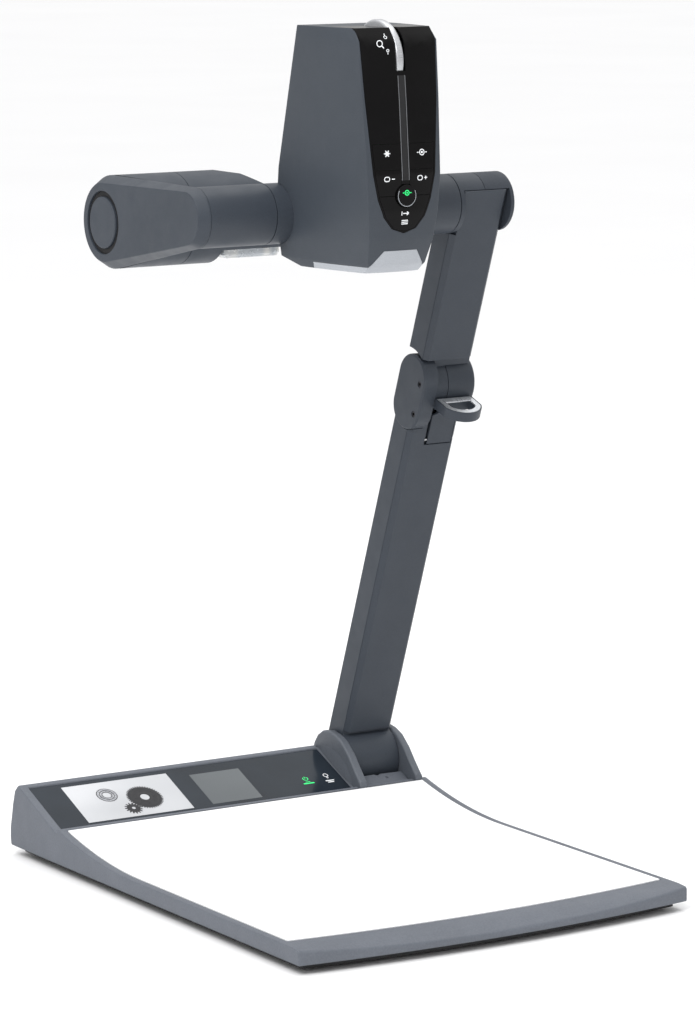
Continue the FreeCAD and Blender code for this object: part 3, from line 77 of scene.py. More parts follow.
class Recipe:
    """Node tree of one finish, with short calls for the nodes that it uses."""

    def __init__(self, name: str) -> None:
        """Start a material with a Principled shader.

        Args:
            name: Name of the material.
        """
        self.material = bpy.data.materials.new(name)
        self.material.use_nodes = True
        self.tree = self.material.node_tree
        self.shader = self.tree.nodes["Principled BSDF"]
        self.place = self.tree.nodes.new("ShaderNodeTexCoord").outputs["Object"]

    def fix(self, **values: object) -> None:
        """Set constants on the shader's own sockets, by name with _ for a space."""
        for name, value in values.items():
            self.shader.inputs[name.replace("_", " ")].default_value = value

    def mapped(self, stretch: Sequence[float], turn: Sequence[float] = (0.0, 0.0, 0.0),
               move: Sequence[float] = (0.0, 0.0, 0.0)) -> bpy.types.NodeSocket:
        """Object coordinates, stretched, turned and moved.

        Args:
            stretch: Scale on each axis.
            turn: Turn on each axis, in degrees.
            move: Shift on each axis, in metres.

        Returns:
            The vector socket.
        """
        node = self.tree.nodes.new("ShaderNodeMapping")
        node.inputs["Scale"].default_value = stretch
        node.inputs["Rotation"].default_value = [math.radians(angle) for angle in turn]
        node.inputs["Location"].default_value = move
        self.tree.links.new(self.place, node.inputs["Vector"])
        return node.outputs["Vector"]

    def noise(self, scale: float, detail: float = 3.0, place: Optional[bpy.types.NodeSocket] = None,
              roughness: float = 0.55) -> bpy.types.NodeSocket:
        """Noise pattern.

        Args:
            scale: Repeats per metre.
            detail: Octaves.
            place: Coordinates, or None for the object's own.
            roughness: Weight of the finer octaves.

        Returns:
            The factor socket.
        """
        node = self.tree.nodes.new("ShaderNodeTexNoise")
        node.inputs["Scale"].default_value = scale
        node.inputs["Detail"].default_value = detail
        node.inputs["Roughness"].default_value = roughness
        self.tree.links.new(place or self.place, node.inputs["Vector"])
        return node.outputs["Fac"]

    def cells(self, scale: float, place: Optional[bpy.types.NodeSocket] = None) -> bpy.types.NodeSocket:
        """Distance to the nearest cell centre of a cellular pattern."""
        node = self.tree.nodes.new("ShaderNodeTexVoronoi")
        node.inputs["Scale"].default_value = scale
        self.tree.links.new(place or self.place, node.inputs["Vector"])
        return node.outputs["Distance"]

    def waves(self, scale: float, direction: str = "X") -> bpy.types.NodeSocket:
        """Parallel bands across one axis."""
        node = self.tree.nodes.new("ShaderNodeTexWave")
        node.bands_direction = direction
        node.inputs["Scale"].default_value = scale
        self.tree.links.new(self.place, node.inputs["Vector"])
        return node.outputs["Fac"]

    def ramp(self, source: bpy.types.NodeSocket, low: Sequence[float], high: Sequence[float],
             start: float = 0.3, end: float = 0.7) -> bpy.types.NodeSocket:
        """Colours spread over a pattern.

        Args:
            source: The pattern's factor.
            low: Colour at the low end.
            high: Colour at the high end.
            start: Factor at which the low colour ends.
            end: Factor at which the high colour begins.

        Returns:
            The colour socket.
        """
        node = self.tree.nodes.new("ShaderNodeValToRGB")
        first, last = node.color_ramp.elements
        first.position, last.position = start, end
        first.color, last.color = (*low, 1.0), (*high, 1.0)
        self.tree.links.new(source, node.inputs["Fac"])
        return node.outputs["Color"]

    def spread(self, source: bpy.types.NodeSocket, low: float, high: float) -> bpy.types.NodeSocket:
        """Map a pattern's middle range to two values."""
        node = self.tree.nodes.new("ShaderNodeMapRange")
        node.inputs["From Min"].default_value = 0.3
        node.inputs["From Max"].default_value = 0.7
        node.inputs["To Min"].default_value = low
        node.inputs["To Max"].default_value = high
        self.tree.links.new(source, node.inputs["Value"])
        return node.outputs["Result"]

    def mixed(self, factor: bpy.types.NodeSocket, first: bpy.types.NodeSocket,
              second: bpy.types.NodeSocket) -> bpy.types.NodeSocket:
        """Mix two colours by a factor."""
        node = self.tree.nodes.new("ShaderNodeMix")
        node.data_type = "RGBA"
        self.tree.links.new(factor, node.inputs["Factor"])
        self.tree.links.new(first, node.inputs[6])
        self.tree.links.new(second, node.inputs[7])
        return node.outputs[2]

    def into(self, source: bpy.types.NodeSocket, name: str) -> None:
        """Connect a socket to the shader's input of that name."""
        self.tree.links.new(source, self.shader.inputs[name])

    def bump(self, heights: Iterable[tuple[bpy.types.NodeSocket, float, float]]) -> None:
        """Stack bumps on the surface.

        Args:
            heights: For each bump its height pattern, strength and depth in metres.
        """
        previous = None
        for height, strength, depth in heights:
            node = self.tree.nodes.new("ShaderNodeBump")
            node.inputs["Strength"].default_value = strength
            node.inputs["Distance"].default_value = depth
            self.tree.links.new(height, node.inputs["Height"])
            if previous:
                self.tree.links.new(previous, node.inputs["Normal"])
            previous = node.outputs["Normal"]
        self.into(previous, "Normal")


Colour = tuple[float, float, float]


def tinted(colour: Colour, factor: float) -> Colour:
    """Colour made lighter or darker by a factor."""
    return tuple(min(1.0, part * factor) for part in colour)


@dataclass(frozen=True)
class MouldedPlastic:
    """Painted or moulded plastic with a spark-eroded grain."""

    name: str
    colour: Colour
    roughness: float = 0.5
    grain: float = 1400.0
    depth: float = 0.00004
    strength: float = 0.25
    variation: float = 0.10
    specular: float = 0.45

    def build(self) -> bpy.types.Material:
        """Make the material."""
        recipe = Recipe(self.name)
        cloud = recipe.noise(9.0, 4.0)
        speck = recipe.noise(self.grain * 0.8, 2.0)
        darker, lighter = tinted(self.colour, 1.0 - self.variation), tinted(self.colour, 1.0 + self.variation)
        base = recipe.ramp(cloud, darker, lighter)
        fleck = recipe.ramp(speck, tinted(self.colour, 0.84), tinted(self.colour, 1.16), 0.35, 0.65)
        half = recipe.spread(recipe.noise(240.0, 2.0), 0.25, 0.55)
        recipe.into(recipe.mixed(half, base, fleck), "Base Color")
        wear = recipe.noise(55.0, 5.0)
        recipe.into(recipe.spread(wear, self.roughness - 0.05, self.roughness + 0.07), "Roughness")
        recipe.bump([(recipe.noise(self.grain, 3.0), self.strength, self.depth),
                     (recipe.cells(self.grain * 0.7), self.strength * 0.5, self.depth * 0.6)])
        recipe.fix(Specular_IOR_Level=self.specular)
        return recipe.material


@dataclass(frozen=True)
class GlossPlastic:
    """Polished plastic with faint finger smears under a clear coat."""

    name: str
    colour: Colour
    roughness: float = 0.12
    coat: float = 0.6
    specular: float = 0.5

    def build(self) -> bpy.types.Material:
        """Make the material."""
        recipe = Recipe(self.name)
        smear = recipe.noise(28.0, 6.0, recipe.mapped((1.0, 1.0, 2.6), (18.0, 0.0, 24.0)))
        tone = recipe.ramp(recipe.noise(12.0), tinted(self.colour, 0.8), tinted(self.colour, 1.25))
        recipe.into(tone, "Base Color")
        recipe.into(recipe.spread(smear, self.roughness * 0.7, self.roughness * 1.9), "Roughness")
        recipe.bump([(recipe.noise(45.0, 2.0), 0.04, 0.00008)])
        recipe.fix(Coat_Weight=self.coat, Coat_Roughness=0.06, Specular_IOR_Level=self.specular)
        return recipe.material


@dataclass(frozen=True)
class SatinMetal:
    """Metal with fine lines along one axis."""

    name: str
    colour: Colour
    roughness: float = 0.32
    lines: tuple[float, float, float] = (1.0, 30.0, 30.0)
    metallic: float = 1.0

    def build(self) -> bpy.types.Material:
        """Make the material."""
        recipe = Recipe(self.name)
        streak = recipe.noise(120.0, 4.0, recipe.mapped(self.lines))
        recipe.into(recipe.ramp(streak, tinted(self.colour, 0.86), tinted(self.colour, 1.1)), "Base Color")
        recipe.into(recipe.spread(streak, self.roughness - 0.06, self.roughness + 0.1), "Roughness")
        recipe.bump([(streak, 0.12, 0.00002), (recipe.noise(900.0), 0.06, 0.00002)])
        recipe.fix(Metallic=self.metallic)
        return recipe.material


@dataclass(frozen=True)
class SurfaceSheet:
    """White matt sheet of the working surface, with a soft paper-like tooth."""

    name: str = "working surface white"
    colour: Colour = (0.93, 0.935, 0.94)

    def build(self) -> bpy.types.Material:
        """Make the material."""
        recipe = Recipe(self.name)
        tone = recipe.ramp(recipe.noise(6.0, 5.0), tinted(self.colour, 0.985), tinted(self.colour, 1.01))
        recipe.into(tone, "Base Color")
        recipe.into(recipe.spread(recipe.noise(40.0, 5.0), 0.42, 0.55), "Roughness")
        recipe.bump([(recipe.noise(1800.0, 3.0), 0.15, 0.00003), (recipe.noise(300.0), 0.05, 0.00003)])
        recipe.fix(Specular_IOR_Level=0.35)
        return recipe.material


@dataclass(frozen=True)
class Rubber:
    """Soft matt rubber."""

    name: str = "foot rubber"
    colour: Colour = (0.018, 0.018, 0.019)

    def build(self) -> bpy.types.Material:
        """Make the material."""
        recipe = Recipe(self.name)
        tone = recipe.ramp(recipe.noise(160.0), tinted(self.colour, 0.7), tinted(self.colour, 1.6))
        recipe.into(tone, "Base Color")
        recipe.into(recipe.spread(recipe.noise(90.0), 0.75, 0.9), "Roughness")
        recipe.bump([(recipe.noise(1500.0), 0.4, 0.00006)])
        return recipe.material


@dataclass(frozen=True)
class CircuitBoard:
    """Green board with copper tracks under its lacquer."""

    name: str = "circuit board"

    def build(self) -> bpy.types.Material:
        """Make the material."""
        recipe = Recipe(self.name)
        tracks = recipe.cells(260.0)
        recipe.into(recipe.ramp(tracks, (0.10, 0.30, 0.10), (0.012, 0.10, 0.035), 0.12, 0.2), "Base Color")
        recipe.into(recipe.spread(recipe.noise(80.0), 0.3, 0.45), "Roughness")
        recipe.bump([(tracks, 0.2, 0.00005)])
        return recipe.material


@dataclass(frozen=True)
class ClearGlass:
    """Coated optical glass with a cool tint."""

    name: str
    colour: Colour = (0.80, 0.87, 0.95)
    index: float = 1.5

    def build(self) -> bpy.types.Material:
        """Make the material."""
        recipe = Recipe(self.name)
        recipe.into(recipe.ramp(recipe.noise(20.0), tinted(self.colour, 0.95), self.colour), "Base Color")
        recipe.into(recipe.spread(recipe.noise(60.0), 0.01, 0.04), "Roughness")
        recipe.fix(Transmission_Weight=0.9, IOR=self.index, Coat_Weight=0.3)
        return recipe.material


@dataclass(frozen=True)
class LampWindow:
    """Frosted lens of the lamp, with the points of its light source behind it."""

    name: str = "lamp window"

    def build(self) -> bpy.types.Material:
        """Make the material."""
        recipe = Recipe(self.name)
        points = recipe.cells(105.0, recipe.mapped((1.0, 1.0, 0.05)))
        recipe.into(recipe.ramp(points, (0.95, 0.95, 0.92), (0.62, 0.66, 0.70), 0.1, 0.6), "Base Color")
        recipe.into(recipe.spread(recipe.noise(120.0), 0.18, 0.32), "Roughness")
        recipe.bump([(recipe.waves(160.0, "X"), 0.25, 0.0002)])
        recipe.fix(Transmission_Weight=0.35, IOR=1.49, Coat_Weight=0.4)
        return recipe.material


@dataclass(frozen=True)
class LitPicture:
    """Lit display picture, lighter towards one corner."""

    name: str
    low: Colour
    high: Colour
    glow: float
    across: float = 9.0

    def build(self) -> bpy.types.Material:
        """Make the material."""
        recipe = Recipe(self.name)
        cloud = recipe.noise(self.across, 1.0, recipe.mapped((1.0, 1.4, 1.4), (0.0, 0.0, 35.0)))
        tone = recipe.ramp(cloud, self.low, self.high)
        recipe.into(tone, "Base Color")
        recipe.into(tone, "Emission Color")
        recipe.into(recipe.spread(recipe.noise(30.0, 5.0), 0.14, 0.22), "Roughness")
        recipe.fix(Emission_Strength=self.glow, Coat_Weight=0.5, Coat_Roughness=0.08)
        return recipe.material


@dataclass(frozen=True)
class PrintedInk:
    """Screen-printed mark; any glow above zero is painted glow, except on a mark that a lamp lights from
    behind.
    """

    name: str
    colour: Colour
    glow: float = 0.0

    def build(self) -> bpy.types.Material:
        """Make the material."""
        recipe = Recipe(self.name)
        tone = recipe.ramp(recipe.noise(900.0), tinted(self.colour, 0.9), self.colour)
        recipe.into(tone, "Base Color")
        recipe.into(tone, "Emission Color")
        recipe.into(recipe.spread(recipe.noise(300.0), 0.35, 0.5), "Roughness")
        recipe.fix(Emission_Strength=self.glow)
        return recipe.material


class Finish(Enum):
    """Finishes of the document camera."""

    HOUSING = MouldedPlastic("housing blue-grey", (0.038, 0.046, 0.059), 0.46, 1500.0, specular=0.32)
    HEAD = MouldedPlastic("camera head blue-grey", (0.040, 0.048, 0.060), 0.44, 1700.0, 0.00003, 0.2,
                          specular=0.34)
    GRAINED = MouldedPlastic("grained drum", (0.036, 0.043, 0.055), 0.58, 620.0, 0.00012, 0.5, specular=0.3)
    FRAME = MouldedPlastic("textured base frame", (0.115, 0.127, 0.150), 0.56, 760.0, 0.00010, 0.5, 0.12)
    CHEEK = MouldedPlastic("textured hinge cheek", (0.092, 0.103, 0.122), 0.52, 820.0, 0.00009, 0.45, 0.12)
    PAN = MouldedPlastic("black pan", (0.010, 0.0105, 0.012), 0.6, 900.0)
    MODULE = MouldedPlastic("black module", (0.016, 0.016, 0.018), 0.5, 1100.0)
    GROOVE = MouldedPlastic("dark groove", (0.006, 0.006, 0.007), 0.7, 800.0)
    SURFACE = SurfaceSheet()
    GLASS = GlossPlastic("control glass", (0.014, 0.020, 0.028), 0.14, 0.10, 0.20)
    KEYS = GlossPlastic("gloss black panel", (0.0042, 0.0040, 0.0042), 0.12, 0.05, 0.10)
    PICTURE = LitPicture("preview picture", (0.44, 0.45, 0.47), (0.60, 0.61, 0.63), 0.06)
    TOUCH = LitPicture("touch picture", (0.045, 0.055, 0.062), (0.075, 0.088, 0.096), 0.10)
    GEAR = SatinMetal("pictured gear steel", (0.022, 0.022, 0.025), 0.48, (1.0, 1.0, 1.0), 0.4)
    PALE_GEAR = SatinMetal("pictured chrome ring", (0.42, 0.43, 0.46), 0.22, (1.0, 1.0, 1.0), 0.7)
    STEEL = SatinMetal("ground steel", (0.55, 0.55, 0.56), 0.3)
    BLACK_STEEL = SatinMetal("blackened screw", (0.05, 0.05, 0.055), 0.35)
    SILVER = SatinMetal("satin silver", (0.68, 0.70, 0.73), 0.30, (30.0, 1.0, 1.0), 0.75)
    WHEEL = SatinMetal("silver zoom wheel", (0.52, 0.53, 0.55), 0.30, (1.0, 30.0, 30.0), 0.7)
    BEZEL = MouldedPlastic("silver bezel", (0.36, 0.38, 0.41), 0.36, 1600.0, 0.00003, 0.15, 0.05, 0.6)
    BRONZE = SatinMetal("sintered bronze", (0.48, 0.31, 0.14), 0.45, (1.0, 1.0, 1.0))
    SHEET = SatinMetal("sheet metal", (0.5, 0.51, 0.52), 0.38)
    RUBBER = Rubber()
    BOARD = CircuitBoard()
    LENS = ClearGlass("lens glass", (0.75, 0.83, 0.95), 1.6)
    WINDOW = ClearGlass("head window", (0.90, 0.93, 0.95), 1.45)
    LAMP = LampWindow()
    # White print that glows at 0.25; on the printed marks of the head panel and keys this glow is painted
    # light.
    WHITE_INK = PrintedInk("glowing white print", (0.82, 0.84, 0.86), 0.25)
    GREEN_INK = PrintedInk("green light", (0.02, 0.62, 0.16), 0.9)
    TRIM = SatinMetal("grey trim line", (0.15, 0.155, 0.165), 0.42, (1.0, 1.0, 30.0), 0.3)
    GOLD = SatinMetal("contact gold", (0.75, 0.52, 0.18), 0.25, (1.0, 1.0, 1.0))

    def material(self) -> bpy.types.Material:
        """The finish's material, built at its first use."""
        name = self.value.name
        return bpy.data.materials.get(name) or self.value.build()


SLOT_FINISH = {
    "housing": Finish.HOUSING, "frame_grey": Finish.FRAME, "pan_black": Finish.PAN,
    "white_surface": Finish.SURFACE, "panel_gloss": Finish.KEYS, "screen": Finish.TOUCH,
    "steel": Finish.STEEL, "silver": Finish.SILVER, "bronze": Finish.BRONZE, "rubber": Finish.RUBBER,
    "board": Finish.BOARD, "module_black": Finish.MODULE, "lens": Finish.LENS, "diffuser": Finish.LAMP,
    "metal_frame": Finish.SHEET,
}
NODE_FINISH = {
    "control_glass": Finish.GLASS, "cheek_left": Finish.CHEEK, "cheek_right": Finish.CHEEK,
    "elbow_screws": Finish.BLACK_STEEL, "barrel_end": Finish.GRAINED, "head_shell": Finish.HEAD,
    "head_bezel": Finish.BEZEL, "window_glass": Finish.WINDOW, "zoom_wheel": Finish.WHEEL,
    "lamp_cap_ring": Finish.GROOVE,
}


def finish_of(node: str) -> Finish:
    """Finish of a frame node, by its name or its material slot."""
    return NODE_FINISH.get(node, SLOT_FINISH[SLOT_OF[node]])


# ---------------------------------------------------------------- mesh work


def piece(mesh: bmesh.types.BMesh, name: str, finish: Finish, body: str,
          stands_for: Sequence[str] = (), sharp: float = 38.0) -> bpy.types.Object:
    """Turn a finished mesh into a piece that rides on a body.

    Args:
        mesh: The mesh, in metres, in its final place.
        name: Name of the piece.
        finish: Its finish.
        body: Body that it rides on.
        stands_for: Frame nodes that it replaces.
        sharp: Angle in degrees from which an edge stays sharp.

    Returns:
        The new object.
    """
    for face in mesh.faces:
        face.smooth = True
    for edge in mesh.edges:
        edge.smooth = not (edge.is_manifold and edge.calc_face_angle(0.0) > math.radians(sharp))
    data = bpy.data.meshes.new(name)
    mesh.to_mesh(data)
    mesh.free()
    data.materials.append(finish.material())
    made = bpy.data.objects.new(name, data)
    bpy.context.scene.collection.objects.link(made)
    weights = made.modifiers.new("even shading", "WEIGHTED_NORMAL")
    weights.keep_sharp = True
    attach(made, body)
    if stands_for:
        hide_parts(*stands_for)
    LOG.info("built %s on %s", name, body)
    return made


def closed(mesh: bmesh.types.BMesh, gap: float = 1e-6) -> bmesh.types.BMesh:
    """Merge doubled points and turn every face outwards."""
    bmesh.ops.remove_doubles(mesh, verts=mesh.verts[:], dist=gap)
    bmesh.ops.recalc_face_normals(mesh, faces=mesh.faces[:])
    return mesh


def add_block(mesh: bmesh.types.BMesh, centre: Vector, size: Vector,
              turn: Optional[Matrix] = None) -> list[bmesh.types.BMVert]:
    """Add a block.

    Args:
        mesh: Mesh that takes it.
        centre: Middle of the block, in metres.
        size: Its three sizes, in metres.
        turn: Turn about its own middle.

    Returns:
        Its points.
    """
    place = Matrix.Translation(centre) @ (turn or Matrix.Identity(4)) @ Matrix.Diagonal((*size, 1.0))
    return bmesh.ops.create_cube(mesh, size=1.0, matrix=place)["verts"]


def ease(mesh: bmesh.types.BMesh, radius: float, angle: float = 30.0, segments: int = 2,
         accept: Callable[[bmesh.types.BMEdge], bool] = lambda edge: True) -> None:
    """Round the mesh's sharp edges.

    Args:
        mesh: The mesh.
        radius: Width of the rounding, in metres.
        angle: Least angle between faces, in degrees.
        segments: Steps across the rounding.
        accept: Test that an edge must pass.
    """
    limit = math.radians(angle)
    edges = [edge for edge in mesh.edges
             if edge.is_manifold and edge.calc_face_angle(0.0) > limit and accept(edge)]
    bmesh.ops.bevel(mesh, geom=edges, offset=radius, offset_type="OFFSET", segments=segments, profile=0.5,
                    affect="EDGES", clamp_overlap=False, loop_slide=False, material=-1)


@dataclass(frozen=True)
class Easing:
    """One way to ease a node: its share of the radius, and the shortest edge in radii that it takes."""

    share: float
    shortest: float


EASINGS = (Easing(1.0, 1.0), Easing(1.0, 4.0), Easing(0.6, 4.0), Easing(1.0, 14.0), Easing(0.5, 14.0),
           Easing(0.3, 6.0), Easing(0.3, 30.0))
SKIN_SLACK = 1.15
SKIN_GRAIN = 0.0002
MOST_VOLUME_LOST = 0.06


def as_triangles(mesh: bmesh.types.BMesh) -> None:
    """Cut every face of more than four sides into triangles, so that it is drawn as it was tested."""
    wide = [face for face in mesh.faces if len(face.verts) > 4]
    bmesh.ops.triangulate(mesh, faces=wide, quad_method="BEAUTY", ngon_method="EAR_CLIP")


def sound(mesh: bmesh.types.BMesh, skin: BVHTree, volume: float, radius: float) -> bool:
    """Tell whether an eased mesh still lies on the shape that it was eased from.

    Args:
        mesh: The eased mesh.
        skin: Surface before the easing.
        volume: Volume before the easing.
        radius: Width of the easing, in metres.

    Returns:
        True where no point, edge or face has left the surface and no volume went missing.
    """
    reach = radius * SKIN_SLACK + SKIN_GRAIN
    places = [vert.co for vert in mesh.verts]
    places += [(edge.verts[0].co + edge.verts[1].co) / 2.0 for edge in mesh.edges]
    places += [face.calc_center_median() for face in mesh.faces]
    if any(skin.find_nearest(place, reach)[0] is None for place in places):
        return False
    return abs(mesh.calc_volume() - volume) <= MOST_VOLUME_LOST * abs(volume)


def softened(node: str, radius: float, angle: float = 30.0,
             accept: Callable[[bmesh.types.BMEdge], bool] = lambda edge: True) -> bpy.types.Object:
    """Build a piece from a copy of a frame node, with its sharp edges eased as far as its shape allows.

    Args:
        node: The frame node that the piece stands for.
        radius: Width of the easing, in millimetres.
        angle: Least angle of an edge that is eased, in degrees.
        accept: Test that an edge must pass.

    Returns:
        The new object.
    """
    source = bmesh.new()
    source.from_mesh(frame["nodes"][node].data)
    bmesh.ops.remove_doubles(source, verts=source.verts[:], dist=2e-6)
    skin = BVHTree.FromBMesh(source)
    volume = source.calc_volume()
    for easing in EASINGS:
        width = radius * easing.share * MM
        least = easing.shortest * width
        mesh = source.copy()
        ease(mesh, width, angle, 2, lambda edge: accept(edge) and edge.calc_length() > least)
        bmesh.ops.remove_doubles(mesh, verts=mesh.verts[:], dist=1e-6)
        as_triangles(mesh)
        if sound(mesh, skin, volume, width):
            LOG.info("eased %s by %.2f mm, edges over %.1f mm", node, width / MM, least / MM)
            break
        mesh.free()
    else:
        mesh = source.copy()
        LOG.info("left the edges of %s sharp", node)
    source.free()
    return piece(mesh, node + "_finished", finish_of(node), BODY_OF[node], (node,))


def ring_profile(mesh: bmesh.types.BMesh, profile: Sequence[tuple[float, float]], axis_place: Vector,
                 steps: int = 96) -> None:
    """Turn a closed profile about an axis along X.

    Args:
        mesh: Mesh that takes the ring.
        profile: Points as (x, radius), in millimetres; x is counted from the axis place.
        axis_place: Point on the axis, in metres.
        steps: Steps of the full turn.
    """
    points = [mesh.verts.new(axis_place + mm(x, 0.0, radius)) for x, radius in profile]
    face = mesh.faces.new(points)
    bmesh.ops.spin(mesh, geom=[face, *face.edges, *points], cent=axis_place, axis=(1.0, 0.0, 0.0),
                   steps=steps, angle=math.tau, use_merge=True)
    bmesh.ops.remove_doubles(mesh, verts=mesh.verts[:], dist=1e-7)
    inner = [item for item in mesh.faces if len(item.verts) == len(profile) and len(profile) > 4]
    bmesh.ops.delete(mesh, geom=inner, context="FACES_ONLY")


class Icon:
    """Flat pictogram drawn in millimetres, later laid on a face."""

    def __init__(self, height: float = 0.12) -> None:
        """Start an empty pictogram.

        Args:
            height: How far it stands over the face, in millimetres.
        """
        self.mesh = bmesh.new()
        self.height = height

    def bar(self, x: float, y: float, width: float, depth: float, angle: float = 0.0) -> "Icon":
        """Add a straight bar.

        Args:
            x: Middle across.
            y: Middle up.
            width: Size across.
            depth: Size up.
            angle: Turn in degrees.

        Returns:
            The pictogram.
        """
        add_block(self.mesh, mm(x, y, 0.0), mm(width, depth, self.height),
                  Matrix.Rotation(math.radians(angle), 4, "Z"))
        return self

    def arc(self, x: float, y: float, radius: float, width: float, start: float = 0.0,
            sweep: float = 360.0) -> "Icon":
        """Add a ring or a part of one.

        Args:
            x: Centre across.
            y: Centre up.
            radius: Middle radius.
            width: Width of the stroke.
            start: Angle of the first end, in degrees.
            sweep: Angle covered, in degrees.

        Returns:
            The pictogram.
        """
        first = len(self.mesh.verts)
        half, rise = width / 2.0, self.height / 2.0
        inner, outer = radius - half, radius + half
        corners = ((inner, -rise), (outer, -rise), (outer, rise), (inner, rise))
        centre = mm(x, y, 0.0)
        turn = Matrix.Rotation(math.radians(start), 4, "Z")
        points = [self.mesh.verts.new(centre + turn @ mm(out, 0.0, up)) for out, up in corners]
        edges = [self.mesh.edges.new((points[i], points[i - 1])) for i in range(4)]
        full = sweep >= 360.0
        bmesh.ops.spin(self.mesh, geom=[*points, *edges], cent=centre, axis=(0.0, 0.0, 1.0),
                       steps=max(6, int(sweep / 12.0)), angle=math.radians(sweep), use_merge=full)
        self.mesh.verts.ensure_lookup_table()
        fresh = self.mesh.verts[first:]
        if not full:
            rim = [edge for vert in fresh for edge in vert.link_edges if edge.is_boundary]
            bmesh.ops.holes_fill(self.mesh, edges=list(set(rim)), sides=4)
        return self

    def disc(self, x: float, y: float, radius: float, segments: int = 24) -> "Icon":
        """Add a full disc."""
        place = Matrix.Translation(mm(x, y, 0.0))
        bmesh.ops.create_cone(self.mesh, cap_ends=True, segments=segments,
                              radius1=radius * MM, radius2=radius * MM,
                              depth=self.height * MM, matrix=place)
        return self

    def laid(self, place: Matrix, name: str, finish: Finish, body: str, slot: str) -> bpy.types.Object:
        """Lay the pictogram on a face.

        Args:
            place: From the drawing plane to the face; its Z points out of the face.
            name: Name of the piece.
            finish: Its finish.
            body: Body that it rides on.
            slot: Material slot of the record; not used.

        Returns:
            The new object.
        """
        bmesh.ops.transform(self.mesh, matrix=place, verts=self.mesh.verts[:])
        return piece(closed(self.mesh, 1e-8), name, finish, body)


def gear_blank(mesh: bmesh.types.BMesh, x: float, y: float, root: float, tip: float, teeth: int, low: float,
               high: float) -> None:
    """Add a toothed disc, drawn flat.

    Args:
        mesh: Mesh that takes it.
        x: Centre across, in millimetres.
        y: Centre up, in millimetres.
        root: Radius between the teeth.
        tip: Radius over the teeth.
        teeth: Number of teeth.
        low: Height of its lower face.
        high: Height of its upper face.
    """
    centre = mm(x, y, low)
    made = bmesh.ops.create_circle(mesh, cap_ends=True, segments=teeth * 4, radius=root * MM,
                                   matrix=Matrix.Translation(centre))
    around = sorted(made["verts"], key=lambda vert: math.atan2(vert.co.y - centre.y, vert.co.x - centre.x))
    teeth_points = [vert for index, vert in enumerate(around) if index % 4 in (1, 2)]
    bmesh.ops.scale(mesh, vec=(tip / root, tip / root, 1.0), verts=teeth_points,
                    space=Matrix.Translation(-centre))
    faces = [face for face in mesh.faces if all(vert in made["verts"] for vert in face.verts)]
    extruded = bmesh.ops.extrude_face_region(mesh, geom=faces)["geom"]
    raised = [item for item in extruded if isinstance(item, bmesh.types.BMVert)]
    bmesh.ops.translate(mesh, vec=mm(0.0, 0.0, high - low), verts=raised)


# ---------------------------------------------------------------- base


@dataclass
class Base:
    """Housing of the base with its working surface and bottom pan."""

    edge: float = 1.4
    surface_edge: float = 0.35
    nodes: Sequence[str] = ("base_shell",)

    def build(self) -> None:
        """Build the base's visible pieces."""
        for node in self.nodes:
            softened(node, self.edge, 34.0, accept=lambda edge: edge.calc_length() > 0.0009)
        softened("working_surface", self.surface_edge, 40.0)


